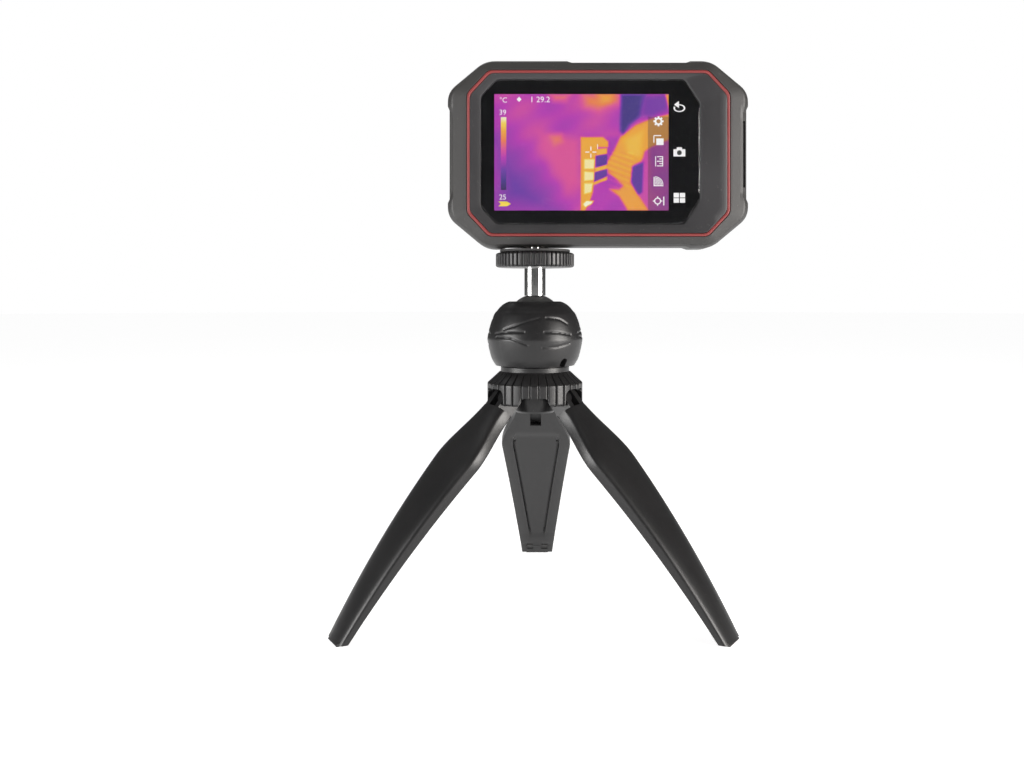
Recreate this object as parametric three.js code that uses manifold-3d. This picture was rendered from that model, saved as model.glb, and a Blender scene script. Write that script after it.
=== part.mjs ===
// A pocket thermal imaging camera on a folding table tripod.
// Millimetres, +Z up. The screen looks along -Y and the infrared lens along +Y.
// The tripod's axis is the line x = 0, y = 0 while the parts are made, with the floor at z = 0;
// the last lines move the whole group so that its origin is the middle of its base.

import * as THREE from 'three';
import { mergeVertices } from 'three/addons/utils/BufferGeometryUtils.js';
import Module from 'manifold-3d';

const wasm = await Module();
wasm.setup();

// ---------------------------------------------------------------- driving dimensions

// Camera case: overall size and the run of its cut corners along X and Z.
const caseWidth = 138;
const caseHeight = 86;
const caseDepth = 24;
const caseCornerX = 17.2;
const caseCornerZ = 14.3;
const armourWall = 3;
const armourFront = 2.3;
const armourSlope = 2.6;
const sideRecessDepth = 0.8;
const sideRecessHeight = 39;
const topRecess = [-14, 42];
const bottomRecess = [-45, 42];
const housingWall = 2;
const housingSplit = -3;
const rearPanelInset = 4;

const caseRounding = 4;
const windowRounding = 1.5;

// Front of the case. The strip's middle line is set in from the case's edge, and the cover
// glass is set in from that line.
const stripInsetX = 9.85;
const stripInsetZ = 5.9;
const stripBand = 1.4;
const stripCornerX = 9.6;
const stripCornerZ = 10.3;
const glassInsetX = 9.5;
const glassInsetZ = 4.45;
const glassCornerX = 7.8;
const glassCornerZ = 8.7;
const glassThickness = 1.3;
const glassRecess = 0.3;
const displayInset = 3;
const displayThickness = 3;
const displayShiftX = -3.6;
const displayShiftZ = 0.7;

// What the case holds. The optics stand in a row a set distance below the case's top edge.
const boardThickness = 1.2;
const boardMargin = 1.2;
const batteryWidth = 56;
const batteryThickness = 5.4;
const batteryFromSide = 21;
const batteryFromBottom = 12;
const batteryGap = 0.5;
const coreSize = 24;
const coreThickness = 6;
const lensBarrelRadius = 11;
const lensRadius = 8;
const lensFromTop = 30;
const lensProud = 1.2;
const lensChamfer = 0.8;
const lensSunk = 1.6;
const viewCameraRadius = 4;
const viewCameraSize = 7;
const viewCameraDepth = 5.2;
const viewCameraPitch = 21;
const torchRadius = 3.2;
const torchPitch = 33.6;
const lampSize = 4;
const lampDepth = 2;
const windowThickness = 1.6;
const windowSunk = 0.6;
const speakerRadius = 7;
const speakerDepth = 4.3;
const speakerX = 44;
const speakerRise = 5;
const caseScrewRadius = 0.9;
const caseScrewHeadRadius = 2;
const caseScrewHeadDepth = 1.4;
const caseScrewSunk = 0.5;
const caseScrewInsetX = 14.5;
const caseScrewInsetZ = 15;
const screwBossRadius = 3;
const screwDriveRadius = 0.9;
const dataSocket = { length: 8, depth: 3.2, height: 8.8, middle: 6, wall: 0.8 };
const cardSocket = { length: 13, depth: 1.8, height: 11.8, middle: -7.1, wall: 0.6 };
const socketFromSide = 3.6;

// Buttons on the top edge, from the case's middle, and the flap on its +X side.
const buttonPlaces = { capture_button: -40.6, power_button: -22.8 };
const buttonLength = 12;
const buttonDepth = 7;
const buttonTravel = 0.8;
const buttonNub = 0.6;
const buttonNubWidth = 2.2;
const buttonY = 3.2;
const stemWidth = 4;
const switchWidth = 6;
const switchHeight = 3.6;
const switchDepth = 5.1;
const plungerRadius = 1.4;
const plungerHeight = 0.8;
const plungerGap = 0.2;
const flapHeight = 32;
const flapDepth = 15;
const flapBarrelRadius = 1.1;
const flapPinRadius = 0.5;
const flapPinReach = 2.2;
const flapSlotInset = 1.4;
const flapSlotWidth = 1.2;
const flapSlotDepth = 0.7;
const flapSlotHeight = 28;

// Mount: the threaded insert stands off the case's middle, over the tripod's axis.
const insertOffset = -29;
const studRadius = 3.175;
const studLength = 4.6;
const insertRadius = 5;
const insertDepth = 7;
const insertFloor = 1;
const insertBoss = { width: 15, depth: 11.6, height: 10, middleY: 3 };

// Head of the tripod.
const padRadius = 16.3;
const padThickness = 1.2;
const discRadius = 18.2;
const discThickness = 6.8;
const discCounterbore = 4;
const discEdge = 0.8;
const discTravel = 2.54;
const postRadius = 4.9;
const postLength = 13.4;
const ballRadius = 13;
const knobRadius = 22.2;
const knobCrown = 17.4;
const knobMouth = 10.5;
const knobFoot = 12.2;
const knobFootRadius = 18.2;
const knobBore = 15.3;
const knobMouthWall = 2.4;
const knobNotchWidth = 3.6;
const knobNotchHeight = 4;
const knobNotchAngle = 42;
const ballAboveEquator = 7.7;
const seatBelowBall = 8;
const seatLip = 1;
const collarRadius = 22.1;
const collarHeight = 9.6;
const collarWall = 2.4;
const collarRoof = 1.6;
const shoulderRadius = 16.7;
const shoulderHeight = 5;
const neckRadius = 15.9;
const neckHeight = 2.7;
const neckWall = 3.15;
const neckFloor = 1;
const lowArchHalf = 7.2;
const lowArchHeight = 3.7;
const lowArchRounding = 3.4;
const archRounding = 3;
const carrierRadius = 10.4;
const carrierFoot = 7;
const hubScrewRadius = 1.5;
const hubScrewHeadRadius = 3;
const hubScrewHeadDepth = 2;
const hubScrewReach = 5.6;

// Legs: length from the pin to the floor, lean when open, and section sizes.
const legLength = 124.5;
const legLean = 38.5;
const legPinCircle = 15;
const legPinRadius = 1.5;
const legKneeHalf = 20.6;
const legNeckHalf = 9.6;
const legFootHalf = 8.4;
const legNeckEnd = 5;
const legKneeEnd = 35;
const legWall = 2.2;
const knuckleRadius = 4.2;
const knuckleWidth = 13.4;
const tongueWidth = 5;
const tongueRadius = 3.2;
const shoulderDrop = 7;
const legBackAtPin = 4.5;
const legBackAtFoot = 4.4;
const legBackBow = 17.5;
const legRimAtPin = -4;
const legRimAtFoot = 0.4;
const legRimBow = 13.4;
const legPocketTop = 26;
const legPocketFoot = 5;
const legRimWidth = 1.9;
const footPadProud = 0.8;
const footPadHeight = 6;

// Clearances.
const seatGap = 0.3;
const runGap = 0.35;
const boreGap = 0.25;

// ---------------------------------------------------------------- worked-out places

const lean = THREE.MathUtils.degToRad(legLean);
const pinZ = legLength * Math.cos(lean);
const collarBottom = pinZ - shoulderDrop * Math.cos(lean) + legBackAtPin * Math.sin(lean) + seatGap;
const collarTop = collarBottom + collarHeight;
const shoulderTop = collarTop + shoulderHeight;
const knobBottom = shoulderTop + neckHeight;
const knobEquator = knobBottom + knobFoot;
const ballZ = knobEquator + ballAboveEquator;
const postBottom = ballZ + Math.sqrt(ballRadius ** 2 - postRadius ** 2);
const discBottom = postBottom + postLength;
const discTop = discBottom + discThickness;
const padTop = discTop + seatGap + padThickness;
const caseBottom = padTop + seatGap;
const caseX = -insertOffset;
const caseZ = caseBottom + caseHeight / 2;
const frontY = -caseDepth / 2;
const rearY = caseDepth / 2;
const stripWidth = caseWidth - 2 * stripInsetX;
const stripHeight = caseHeight - 2 * stripInsetZ;
const glassWidth = stripWidth - 2 * glassInsetX;
const glassHeight = stripHeight - 2 * glassInsetZ;
const boardFront = housingSplit + 1;
const boardRear = boardFront + boardThickness;
const partsFront = boardRear + seatGap;
const coreRearY = partsFront + coreThickness;
const displayFront = frontY + glassRecess + glassThickness + seatGap;
const housingTop = caseHeight / 2 - armourWall;
const switchTop = housingTop - housingWall - 1.2;
const lensX = insertOffset;
const lensZ = caseHeight / 2 - lensFromTop;
const cameraX = lensX + viewCameraPitch;
const torchX = lensX + torchPitch;
const seatBottom = ballZ - seatBelowBall;

// ---------------------------------------------------------------- solids and meshes

// A closed geometry as a solid that can be joined and cut.
function solidOf(geometry) {
  geometry.deleteAttribute('normal');
  geometry.deleteAttribute('uv');
  const merged = mergeVertices(geometry, 1e-4);
  const corners = merged.index.array;
  const kept = [];
  for (let i = 0; i < corners.length; i += 3) {
    const [a, b, c] = [corners[i], corners[i + 1], corners[i + 2]];
    if (a !== b && b !== c && c !== a) {
      kept.push(a, b, c);
    }
  }
  return new wasm.Manifold(new wasm.Mesh({
    numProp: 3,
    vertProperties: new Float32Array(merged.attributes.position.array),
    triVerts: new Uint32Array(kept),
  }));
}

function meshOf(name, solid, finish) {
  const cut = solid.getMesh();
  const geometry = new THREE.BufferGeometry();
  geometry.setAttribute('position', new THREE.BufferAttribute(cut.vertProperties, 3));
  geometry.setIndex(new THREE.BufferAttribute(cut.triVerts, 1));
  geometry.computeVertexNormals();
  const mesh = new THREE.Mesh(geometry, new THREE.MeshStandardMaterial(finish));
  mesh.name = name;
  return mesh;
}

// A block between two values on each axis.
function block(x, y, z) {
  const geometry = new THREE.BoxGeometry(x[1] - x[0], y[1] - y[0], z[1] - z[0]);
  geometry.translate((x[0] + x[1]) / 2, (y[0] + y[1]) / 2, (z[0] + z[1]) / 2);
  return solidOf(geometry);
}

// A block given by its middle and its size.
function blockAt(middle, size) {
  const span = (axis) => [middle[axis] - size[axis] / 2, middle[axis] + size[axis] / 2];
  return block(span(0), span(1), span(2));
}

// A shape drawn in X and Z, thick from y0 to y1.
function plate(shape, y0, y1, curveSegments = 2) {
  const depth = y1 - y0;
  const geometry = new THREE.ExtrudeGeometry(shape, { depth, bevelEnabled: false, curveSegments });
  geometry.rotateX(Math.PI / 2);
  geometry.translate(0, y1, 0);
  return solidOf(geometry);
}

// A round bar along an axis, from one value to another on it.
function bar(radius, axis, from, to, middle = [0, 0, 0], segments = 16) {
  const geometry = new THREE.CylinderGeometry(radius, radius, to - from, segments);
  geometry.translate(0, (from + to) / 2, 0);
  if (axis === 'x') {
    geometry.rotateZ(-Math.PI / 2);
  }
  if (axis === 'z') {
    geometry.rotateX(Math.PI / 2);
  }
  geometry.translate(middle[0], middle[1], middle[2]);
  return solidOf(geometry);
}

// A turned piece about the Z axis, from [radius, z] pairs listed upwards on the outside.
function turned(profile, segments = 40) {
  const points = profile.map(([radius, z]) => new THREE.Vector2(radius, z));
  const geometry = new THREE.LatheGeometry(points, segments);
  geometry.rotateX(Math.PI / 2);
  return solidOf(geometry);
}

// Points of an arc about (0, centreZ) in the plane of a turned profile, angles from the Z axis.
function arcProfile(radius, centreZ, fromAngle, toAngle, steps) {
  const points = [];
  for (let i = 0; i <= steps; i += 1) {
    const angle = fromAngle + (toAngle - fromAngle) * (i / steps);
    points.push([radius * Math.sin(angle), centreZ + radius * Math.cos(angle)]);
  }
  return points;
}

// An eight-sided outline with rounded corners, in X and Z.
function octagon(width, height, cornerX, cornerZ, rounding, middleX = 0, middleZ = 0) {
  const halfW = width / 2;
  const halfH = height / 2;
  const corners = [
    [halfW - cornerX, -halfH], [halfW, -halfH + cornerZ],
    [halfW, halfH - cornerZ], [halfW - cornerX, halfH],
    [-halfW + cornerX, halfH], [-halfW, halfH - cornerZ],
    [-halfW, -halfH + cornerZ], [-halfW + cornerX, -halfH],
  ].map(([x, z]) => new THREE.Vector2(x + middleX, z + middleZ));
  const shape = new THREE.Shape();
  corners.forEach((corner, i) => {
    const before = corners[(i + 7) % 8];
    const after = corners[(i + 1) % 8];
    const start = corner.clone().lerp(before, rounding / corner.distanceTo(before));
    const end = corner.clone().lerp(after, rounding / corner.distanceTo(after));
    if (i === 0) {
      shape.moveTo(start.x, start.y);
    } else {
      shape.lineTo(start.x, start.y);
    }
    shape.quadraticCurveTo(corner.x, corner.y, end.x, end.y);
  });
  shape.closePath();
  return shape;
}

// How much a cut corner's run changes for each millimetre that an outline grows or shrinks.
const cornerShare = 0.42;

// The case's own outline, made smaller all round by an inset.
function caseOutline(inset) {
  const cornerX = caseCornerX - inset * cornerShare;
  const cornerZ = caseCornerZ - inset * cornerShare;
  return octagon(caseWidth - 2 * inset, caseHeight - 2 * inset, cornerX, cornerZ, caseRounding);
}

// The strip's outline, made larger all round by a margin.
function stripOutline(margin) {
  const width = stripWidth + 2 * margin;
  const height = stripHeight + 2 * margin;
  const cornerX = stripCornerX + margin * cornerShare;
  const cornerZ = stripCornerZ + margin * cornerShare;
  return octagon(width, height, cornerX, cornerZ, windowRounding);
}

// The cover glass's outline, made larger all round by a margin.
function glassOutline(margin) {
  const width = glassWidth + 2 * margin;
  const height = glassHeight + 2 * margin;
  const cornerX = glassCornerX + margin * cornerShare;
  const cornerZ = glassCornerZ + margin * cornerShare;
  return octagon(width, height, cornerX, cornerZ, windowRounding, displayShiftX, displayShiftZ);
}

// Finishes.
const rubber = { color: 0x3d3b3a, roughness: 0.72, metalness: 0 };
const blackPlastic = { color: 0x242425, roughness: 0.42, metalness: 0 };
const housingPlastic = { color: 0x2c2b2b, roughness: 0.6, metalness: 0 };
const redPlastic = { color: 0xa23a3a, roughness: 0.5, metalness: 0 };
const steel = { color: 0xc9c9c6, roughness: 0.22, metalness: 1 };
const brass = { color: 0xb08d4a, roughness: 0.35, metalness: 1 };
const boardGreen = { color: 0x1f5a3a, roughness: 0.6, metalness: 0 };
const darkGlass = { color: 0x141416, roughness: 0.06, metalness: 0 };
const displayPanel = { color: 0x8c3a9c, roughness: 0.4, metalness: 0 };
const batteryWrap = { color: 0x8a8f94, roughness: 0.5, metalness: 0 };
const greyMetal = { color: 0x777a7d, roughness: 0.4, metalness: 0.8 };
const lensBlack = { color: 0x1b1b1c, roughness: 0.4, metalness: 0.6 };
const germanium = { color: 0x5a5560, roughness: 0.12, metalness: 0.8 };
const clearPlastic = { color: 0xe6e6e0, roughness: 0.15, metalness: 0 };
const lampYellow = { color: 0xe8dfa0, roughness: 0.4, metalness: 0 };
const switchMetal = { color: 0xb9b9b4, roughness: 0.4, metalness: 0.4 };
const ballSteel = { color: 0x8a8a88, roughness: 0.35, metalness: 1 };
const nylon = { color: 0xd8d8d2, roughness: 0.5, metalness: 0 };

// ---------------------------------------------------------------- camera case

const screwX = caseWidth / 2 - caseScrewInsetX;
const screwZ = caseHeight / 2 - caseScrewInsetZ;
const screwPlaces = [[-screwX, -screwZ], [screwX, -screwZ], [screwX, screwZ], [-screwX, screwZ]];
const flapInnerX = caseWidth / 2 - armourWall + seatGap;
const flapOuterX = caseWidth / 2 - sideRecessDepth;
const flapPinX = flapInnerX + flapBarrelRadius + seatGap;
const flapPinY = flapDepth / 2 + 1;
const flapFrontY = flapPinY - flapDepth;

// The two button pockets, larger than the buttons by a gap.
function buttonCuts(gap) {
  const size = [buttonLength + 2 * gap, buttonDepth + 2 * gap, 8];
  return Object.values(buttonPlaces).map((x) => blockAt([x, buttonY, caseHeight / 2], size));
}

// A shallow step cut into the case's outline, from one place to another along an edge, with
// a ramp at each end. Points are given as [along the edge, out from it].
function edgeStep(from, to, rampOutside, place) {
  const shape = new THREE.Shape();
  shape.setFromPoints([
    [from - rampOutside, 1], [from - rampOutside, 0], [from, -sideRecessDepth],
    [to, -sideRecessDepth], [to + rampOutside, 0], [to + rampOutside, 1],
  ].map(([along, out]) => place(along, out)));
  return plate(shape, -caseDepth, caseDepth);
}

// The rubber armour: a ring round the case with a front and a rear lip.
function armourFrame() {
  const slopeRun = armourSlope * 1.3;
  const blank = new THREE.ExtrudeGeometry(caseOutline(0), {
    depth: caseDepth - 2 * armourSlope,
    bevelThickness: armourSlope,
    bevelSize: slopeRun,
    bevelOffset: -slopeRun,
    bevelSegments: 3,
    curveSegments: 2,
  });
  blank.rotateX(Math.PI / 2);
  blank.translate(0, caseDepth / 2 - armourSlope, 0);
  const body = solidOf(blank);
  const ramp = 2.5;
  const half = sideRecessHeight / 2;
  const cuts = [];
  for (const side of [-1, 1]) {
    const atSide = (along, out) => new THREE.Vector2(side * (caseWidth / 2 + out), along);
    cuts.push(edgeStep(-half, half, ramp, atSide));
  }
  const atTop = (along, out) => new THREE.Vector2(along, caseHeight / 2 + out);
  const atBottom = (along, out) => new THREE.Vector2(along, -caseHeight / 2 - out);
  cuts.push(edgeStep(topRecess[0], topRecess[1], ramp / 2, atTop));
  cuts.push(edgeStep(bottomRecess[0], bottomRecess[1], ramp / 2, atBottom));
  const innerFront = frontY + armourFront - seatGap;
  const innerRear = rearY - armourFront + seatGap;
  cuts.push(plate(caseOutline(armourWall - seatGap), innerFront, innerRear));
  cuts.push(plate(stripOutline(stripBand / 2 + seatGap), -caseDepth, 0));
  cuts.push(plate(caseOutline(armourWall + rearPanelInset - seatGap), 0, caseDepth));
  cuts.push(...buttonCuts(seatGap));
  const flapMiddleY = (flapFrontY + flapPinY + flapBarrelRadius) / 2;
  const flapSpanY = flapPinY + flapBarrelRadius - flapFrontY + 2 * seatGap + 0.4;
  const flapPocket = [3 * armourWall, flapSpanY, flapHeight + 2 * seatGap];
  cuts.push(blockAt([caseWidth / 2, flapMiddleY, 0], flapPocket));
  const pinHole = flapHeight / 2 + flapPinReach + 0.4;
  cuts.push(bar(flapPinRadius + boreGap, 'z', -pinHole, pinHole, [flapPinX, flapPinY, 0], 12));
  cuts.push(bar(insertRadius + 1, 'z', -caseHeight, 0, [insertOffset, 0, 0], 24));
  return cuts.reduce((solid, cut) => solid.subtract(cut), body);
}

// The rear half of the housing: an open tub with its lens window, bosses and port opening.
function rearHousing() {
  const back = rearY - armourFront;
  const panel = rearY - 0.2;
  const panelInset = armourWall + rearPanelInset;
  let body = plate(caseOutline(armourWall), housingSplit, back);
  body = body.add(plate(caseOutline(panelInset), back - 1, panel));
  body = body.subtract(plate(caseOutline(armourWall + housingWall), housingSplit - 1, back - housingWall));
  body = body.subtract(plate(caseOutline(panelInset + housingWall), back - housingWall - 1, back - 0.2));
  const headHole = caseScrewHeadDepth + caseScrewSunk + seatGap;
  for (const [x, z] of screwPlaces) {
    body = body.add(bar(screwBossRadius, 'y', housingSplit, back, [x, 0, z], 14));
    body = body.subtract(bar(caseScrewRadius + boreGap, 'y', housingSplit - 1, rearY + 1, [x, 0, z], 12));
    body = body.subtract(bar(caseScrewHeadRadius + boreGap, 'y', rearY - headHole, rearY + 1, [x, 0, z], 14));
  }
  const window = (radius, x, segments) => bar(radius + seatGap, 'y', 0, rearY + 2, [x, 0, lensZ], segments);
  body = body.subtract(window(lensBarrelRadius, lensX, 36));
  body = body.subtract(window(viewCameraRadius, cameraX, 24));
  body = body.subtract(window(torchRadius, torchX, 20));
  const stemHole = stemWidth + 0.8;
  for (const x of Object.values(buttonPlaces)) {
    body = body.subtract(blockAt([x, buttonY, housingTop], [stemHole, stemHole, 8]));
  }
  const portX = caseWidth / 2 - armourWall;
  for (const { depth, height, middle } of [dataSocket, cardSocket]) {
    const size = [10, depth + 0.8, height + 0.8];
    body = body.subtract(blockAt([portX, partsFront + depth / 2, middle], size));
  }
  const { width, depth, height, middleY } = insertBoss;
  body = body.add(blockAt([insertOffset, middleY, height / 2 - housingTop], [width, depth, height]));
  return body.subtract(insertHole());
}

// The hole that the threaded insert is pressed into, up from the bottom edge.
function insertHole() {
  const top = -caseHeight / 2 + insertDepth + 1.2;
  return bar(insertRadius + seatGap, 'z', -caseHeight, top, [insertOffset, 0, 0], 24);
}

// The front half: a frame round the display, with a step for the glass.
function frontBezel() {
  const raised = stripOutline(-stripBand / 2 - seatGap);
  const glassSeat = frontY + glassRecess + glassThickness + seatGap;
  let body = plate(caseOutline(armourWall), frontY + armourFront, housingSplit - seatGap);
  body = body.add(plate(raised, frontY, housingSplit - seatGap));
  body = body.subtract(plate(glassOutline(seatGap), frontY - 1, glassSeat));
  body = body.subtract(plate(glassOutline(seatGap - displayInset), frontY - 1, 0));
  for (const [x, z] of screwPlaces) {
    body = body.subtract(bar(caseScrewRadius + boreGap, 'y', -8, 0, [x, 0, z], 12));
  }
  return body.subtract(insertHole());
}

function accentStrip() {
  const ring = plate(stripOutline(stripBand / 2), frontY, frontY + armourFront - seatGap);
  return ring.subtract(plate(stripOutline(-stripBand / 2), frontY - 1, frontY + caseDepth));
}

function coverGlass() {
  return plate(glassOutline(0), frontY + glassRecess, frontY + glassRecess + glassThickness);
}

function displayModule() {
  return plate(glassOutline(-displayInset), displayFront, displayFront + displayThickness);
}

// The board has a hole round each screw boss and a notch for the insert's boss.
function mainBoard() {
  let board = plate(caseOutline(armourWall + housingWall + boardMargin), boardFront, boardRear);
  for (const [x, z] of screwPlaces) {
    board = board.subtract(bar(screwBossRadius + 0.4, 'y', -9, 9, [x, 0, z], 14));
  }
  const notch = [insertBoss.width + 1, insertBoss.depth + 0.4, 2 * insertBoss.height];
  return board.subtract(blockAt([insertOffset, 0, -caseHeight / 2 + 6], notch));
}

// A turned piece whose axis is the optical axis of the infrared lens, from [radius, y] pairs.
function turnedAlongY(profile, segments) {
  const points = profile.map(([radius, y]) => new THREE.Vector2(radius, y));
  const geometry = new THREE.LatheGeometry(points, segments);
  geometry.translate(lensX, 0, lensZ);
  return solidOf(geometry);
}

function lensBarrel() {
  const bore = lensRadius + seatGap;
  const back = coreRearY + seatGap;
  const front = rearY + lensProud;
  return turnedAlongY([
    [bore, back], [lensBarrelRadius, back], [lensBarrelRadius, front - lensChamfer],
    [lensBarrelRadius - lensChamfer, front], [lensBarrelRadius - 2 * lensChamfer, front],
    [bore, rearY - 1], [bore, back],
  ], 36);
}

function germaniumLens() {
  const crown = rearY - lensSunk;
  return turnedAlongY([
    [0, crown - 3.4], [lensRadius, crown - 2.6], [lensRadius, crown - 1.2],
    [lensRadius * 0.6, crown - 0.4], [0, crown],
  ], 32);
}

function caseScrew(x, z) {
  const headTop = rearY - caseScrewSunk;
  const headBottom = headTop - caseScrewHeadDepth;
  const shank = bar(caseScrewRadius, 'y', -7.6, headBottom + 0.2, [x, 0, z], 12);
  const head = bar(caseScrewHeadRadius, 'y', headBottom, headTop, [x, 0, z], 14);
  const drive = bar(screwDriveRadius, 'y', headTop - 0.6, rearY, [x, 0, z], 6);
  return shank.add(head).subtract(drive);
}

// A rubber key: its cap, the nub on top and the stem that reaches the switch.
function pushButton(x) {
  const capTop = caseHeight / 2;
  const capBottom = housingTop + seatGap + buttonTravel;
  const stemBottom = switchTop + buttonTravel + plungerGap;
  const slab = (width, depth, from, to) => blockAt([x, buttonY, (from + to) / 2], [width, depth, to - from]);
  return slab(buttonLength, buttonDepth, capBottom, capTop)
    .add(slab(buttonNubWidth, buttonDepth - 2, capTop - buttonNub, capTop + buttonNub))
    .add(slab(stemWidth, stemWidth, stemBottom, capTop - 1));
}

function keySwitch(x) {
  const top = switchTop - plungerHeight;
  const middle = [x, partsFront + switchDepth / 2, top - switchHeight / 2];
  const body = blockAt(middle, [switchWidth, switchDepth, switchHeight]);
  return body.add(bar(plungerRadius, 'z', switchTop - 2, switchTop, [x, buttonY, 0], 12));
}

// The leaf over the sockets, with its hinge barrel and a finger slot at the free edge.
function portFlap() {
  const half = flapHeight / 2;
  const slotFrom = flapFrontY + flapSlotInset;
  const leaf = block([flapInnerX, flapOuterX], [flapFrontY, flapPinY], [-half, half]);
  const barrel = bar(flapBarrelRadius, 'z', -half, half, [flapPinX, flapPinY, 0], 16);
  const slot = block([flapOuterX - flapSlotDepth, flapOuterX + 1], [slotFrom, slotFrom + flapSlotWidth],
    [-flapSlotHeight / 2, flapSlotHeight / 2]);
  const bore = bar(flapPinRadius + 0.15, 'z', -flapHeight, flapHeight, [flapPinX, flapPinY, 0], 12);
  return leaf.add(barrel).subtract(slot).subtract(bore);
}

// A metal socket on the board, open towards the flap.
function socketOf({ length, depth, height, middle, wall }) {
  const outerX = caseWidth / 2 - socketFromSide;
  const middleY = partsFront + depth / 2;
  const body = blockAt([outerX - length / 2, middleY, middle], [length, depth, height]);
  const mouth = [length, depth - wall, height - 2 * wall];
  return body.subtract(blockAt([outerX - length / 2 + 2, middleY, middle], mouth));
}

function batteryPack() {
  const right = caseWidth / 2 - batteryFromSide;
  const top = lensZ - viewCameraSize / 2 - batteryGap;
  const bottom = -caseHeight / 2 + batteryFromBottom;
  return block([right - batteryWidth, right], [partsFront, partsFront + batteryThickness], [bottom, top]);
}

function threadedInsert() {
  const bottom = -caseHeight / 2 + sideRecessDepth + 0.2;
  const top = -caseHeight / 2 + insertDepth;
  return bar(insertRadius, 'z', bottom, top, [insertOffset, 0, 0], 24)
    .subtract(bar(studRadius + boreGap, 'z', -caseHeight, top - insertFloor, [insertOffset, 0, 0], 20));
}

function cameraCase() {
  const group = new THREE.Group();
  const add = (name, solid, finish) => group.add(meshOf(name, solid, finish));
  const behindBoard = (x, depth, width) => blockAt([x, partsFront + depth / 2, lensZ], [width, depth, width]);
  const window = (radius, x, segments) => {
    const front = rearY - windowSunk;
    return bar(radius, 'y', front - windowThickness, front, [x, 0, lensZ], segments);
  };
  add('armour_frame', armourFrame(), rubber);
  add('rear_housing', rearHousing(), housingPlastic);
  add('front_bezel', frontBezel(), housingPlastic);
  add('accent_strip', accentStrip(), redPlastic);
  add('cover_glass', coverGlass(), darkGlass);
  add('display_module', displayModule(), displayPanel);
  add('main_board', mainBoard(), boardGreen);
  add('battery_pack', batteryPack(), batteryWrap);
  add('infrared_core', behindBoard(lensX, coreThickness, coreSize), greyMetal);
  add('lens_barrel', lensBarrel(), lensBlack);
  add('germanium_lens', germaniumLens(), germanium);
  add('view_camera', behindBoard(cameraX, viewCameraDepth, viewCameraSize), blackPlastic);
  add('camera_window', window(viewCameraRadius, cameraX, 24), darkGlass);
  add('torch_lens', window(torchRadius, torchX, 20), clearPlastic);
  add('torch_lamp', behindBoard(torchX, lampDepth, lampSize), lampYellow);
  const speakerPlace = [speakerX, 0, lensZ + speakerRise];
  add('speaker', bar(speakerRadius, 'y', partsFront, partsFront + speakerDepth, speakerPlace, 18), lensBlack);
  add('data_socket', socketOf(dataSocket), steel);
  add('card_socket', socketOf(cardSocket), steel);
  add('threaded_insert', threadedInsert(), brass);
  screwPlaces.forEach(([x, z], i) => add(`case_screw_${i + 1}`, caseScrew(x, z), steel));
  for (const [name, x] of Object.entries(buttonPlaces)) {
    add(name, pushButton(x), rubber);
    add(name.replace('button', 'switch'), keySwitch(x), switchMetal);
  }
  add('port_flap', portFlap(), rubber);
  const pinHalf = flapHeight / 2 + flapPinReach;
  add('flap_pin', bar(flapPinRadius, 'z', -pinHalf, pinHalf, [flapPinX, flapPinY, 0], 12), steel);
  group.position.set(caseX, 0, caseZ);
  return group;
}

// ---------------------------------------------------------------- tripod head

function discPad() {
  const bottom = padTop - padThickness;
  return bar(padRadius, 'z', bottom, padTop, [0, 0, 0], 36)
    .subtract(bar(studRadius + boreGap, 'z', 0, 2 * padTop, [0, 0, 0], 20));
}

function lockDisc() {
  const bore = studRadius + boreGap;
  const wide = postRadius + boreGap;
  return turned([
    [wide, discBottom], [discRadius - discEdge, discBottom], [discRadius, discBottom + discEdge],
    [discRadius, discTop - discEdge], [discRadius - discEdge, discTop], [bore, discTop],
    [bore, discBottom + discCounterbore], [wide, discBottom + discCounterbore], [wide, discBottom],
  ], 36);
}

function post() {
  const hollow = ballRadius + seatGap;
  const rim = Math.asin(postRadius / hollow);
  const shoulder = discBottom + discCounterbore - discTravel - 2 * seatGap;
  const top = caseBottom + studLength;
  return turned([
    ...arcProfile(hollow, ballZ, 0, rim, 4), [postRadius, shoulder],
    [studRadius, shoulder], [studRadius, top - 0.6], [studRadius - 0.6, top], [0, top],
  ], 24);
}

function ball() {
  const geometry = new THREE.SphereGeometry(ballRadius, 24, 12);
  geometry.rotateX(Math.PI / 2);
  geometry.translate(0, 0, ballZ);
  return solidOf(geometry);
}

// The cup that the ball turns in, on top of the hub's neck.
function ballSeat() {
  const hollow = ballRadius + seatGap;
  const outer = knobBore - runGap;
  const low = Math.PI - Math.acos(seatBelowBall / hollow);
  const high = Math.PI - Math.acos(seatLip / hollow);
  const cup = arcProfile(hollow, ballZ, high, low, 4);
  return turned([cup[cup.length - 1], [outer, seatBottom], [outer, ballZ - seatLip], ...cup], 32);
}

// A rounded outside from the knob's equator to a smaller radius, up or down by a height.
// The power makes the curve fuller or flatter.
function knobCurve(endRadius, height, power, steps) {
  const reach = Math.acos(endRadius / knobRadius);
  const points = [];
  for (let i = 0; i <= steps; i += 1) {
    const angle = reach * (i / steps);
    const rise = height * (Math.sin(angle) / Math.sin(reach));
    points.push([knobRadius * Math.cos(angle) ** power, knobEquator + rise]);
  }
  return points;
}

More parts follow.
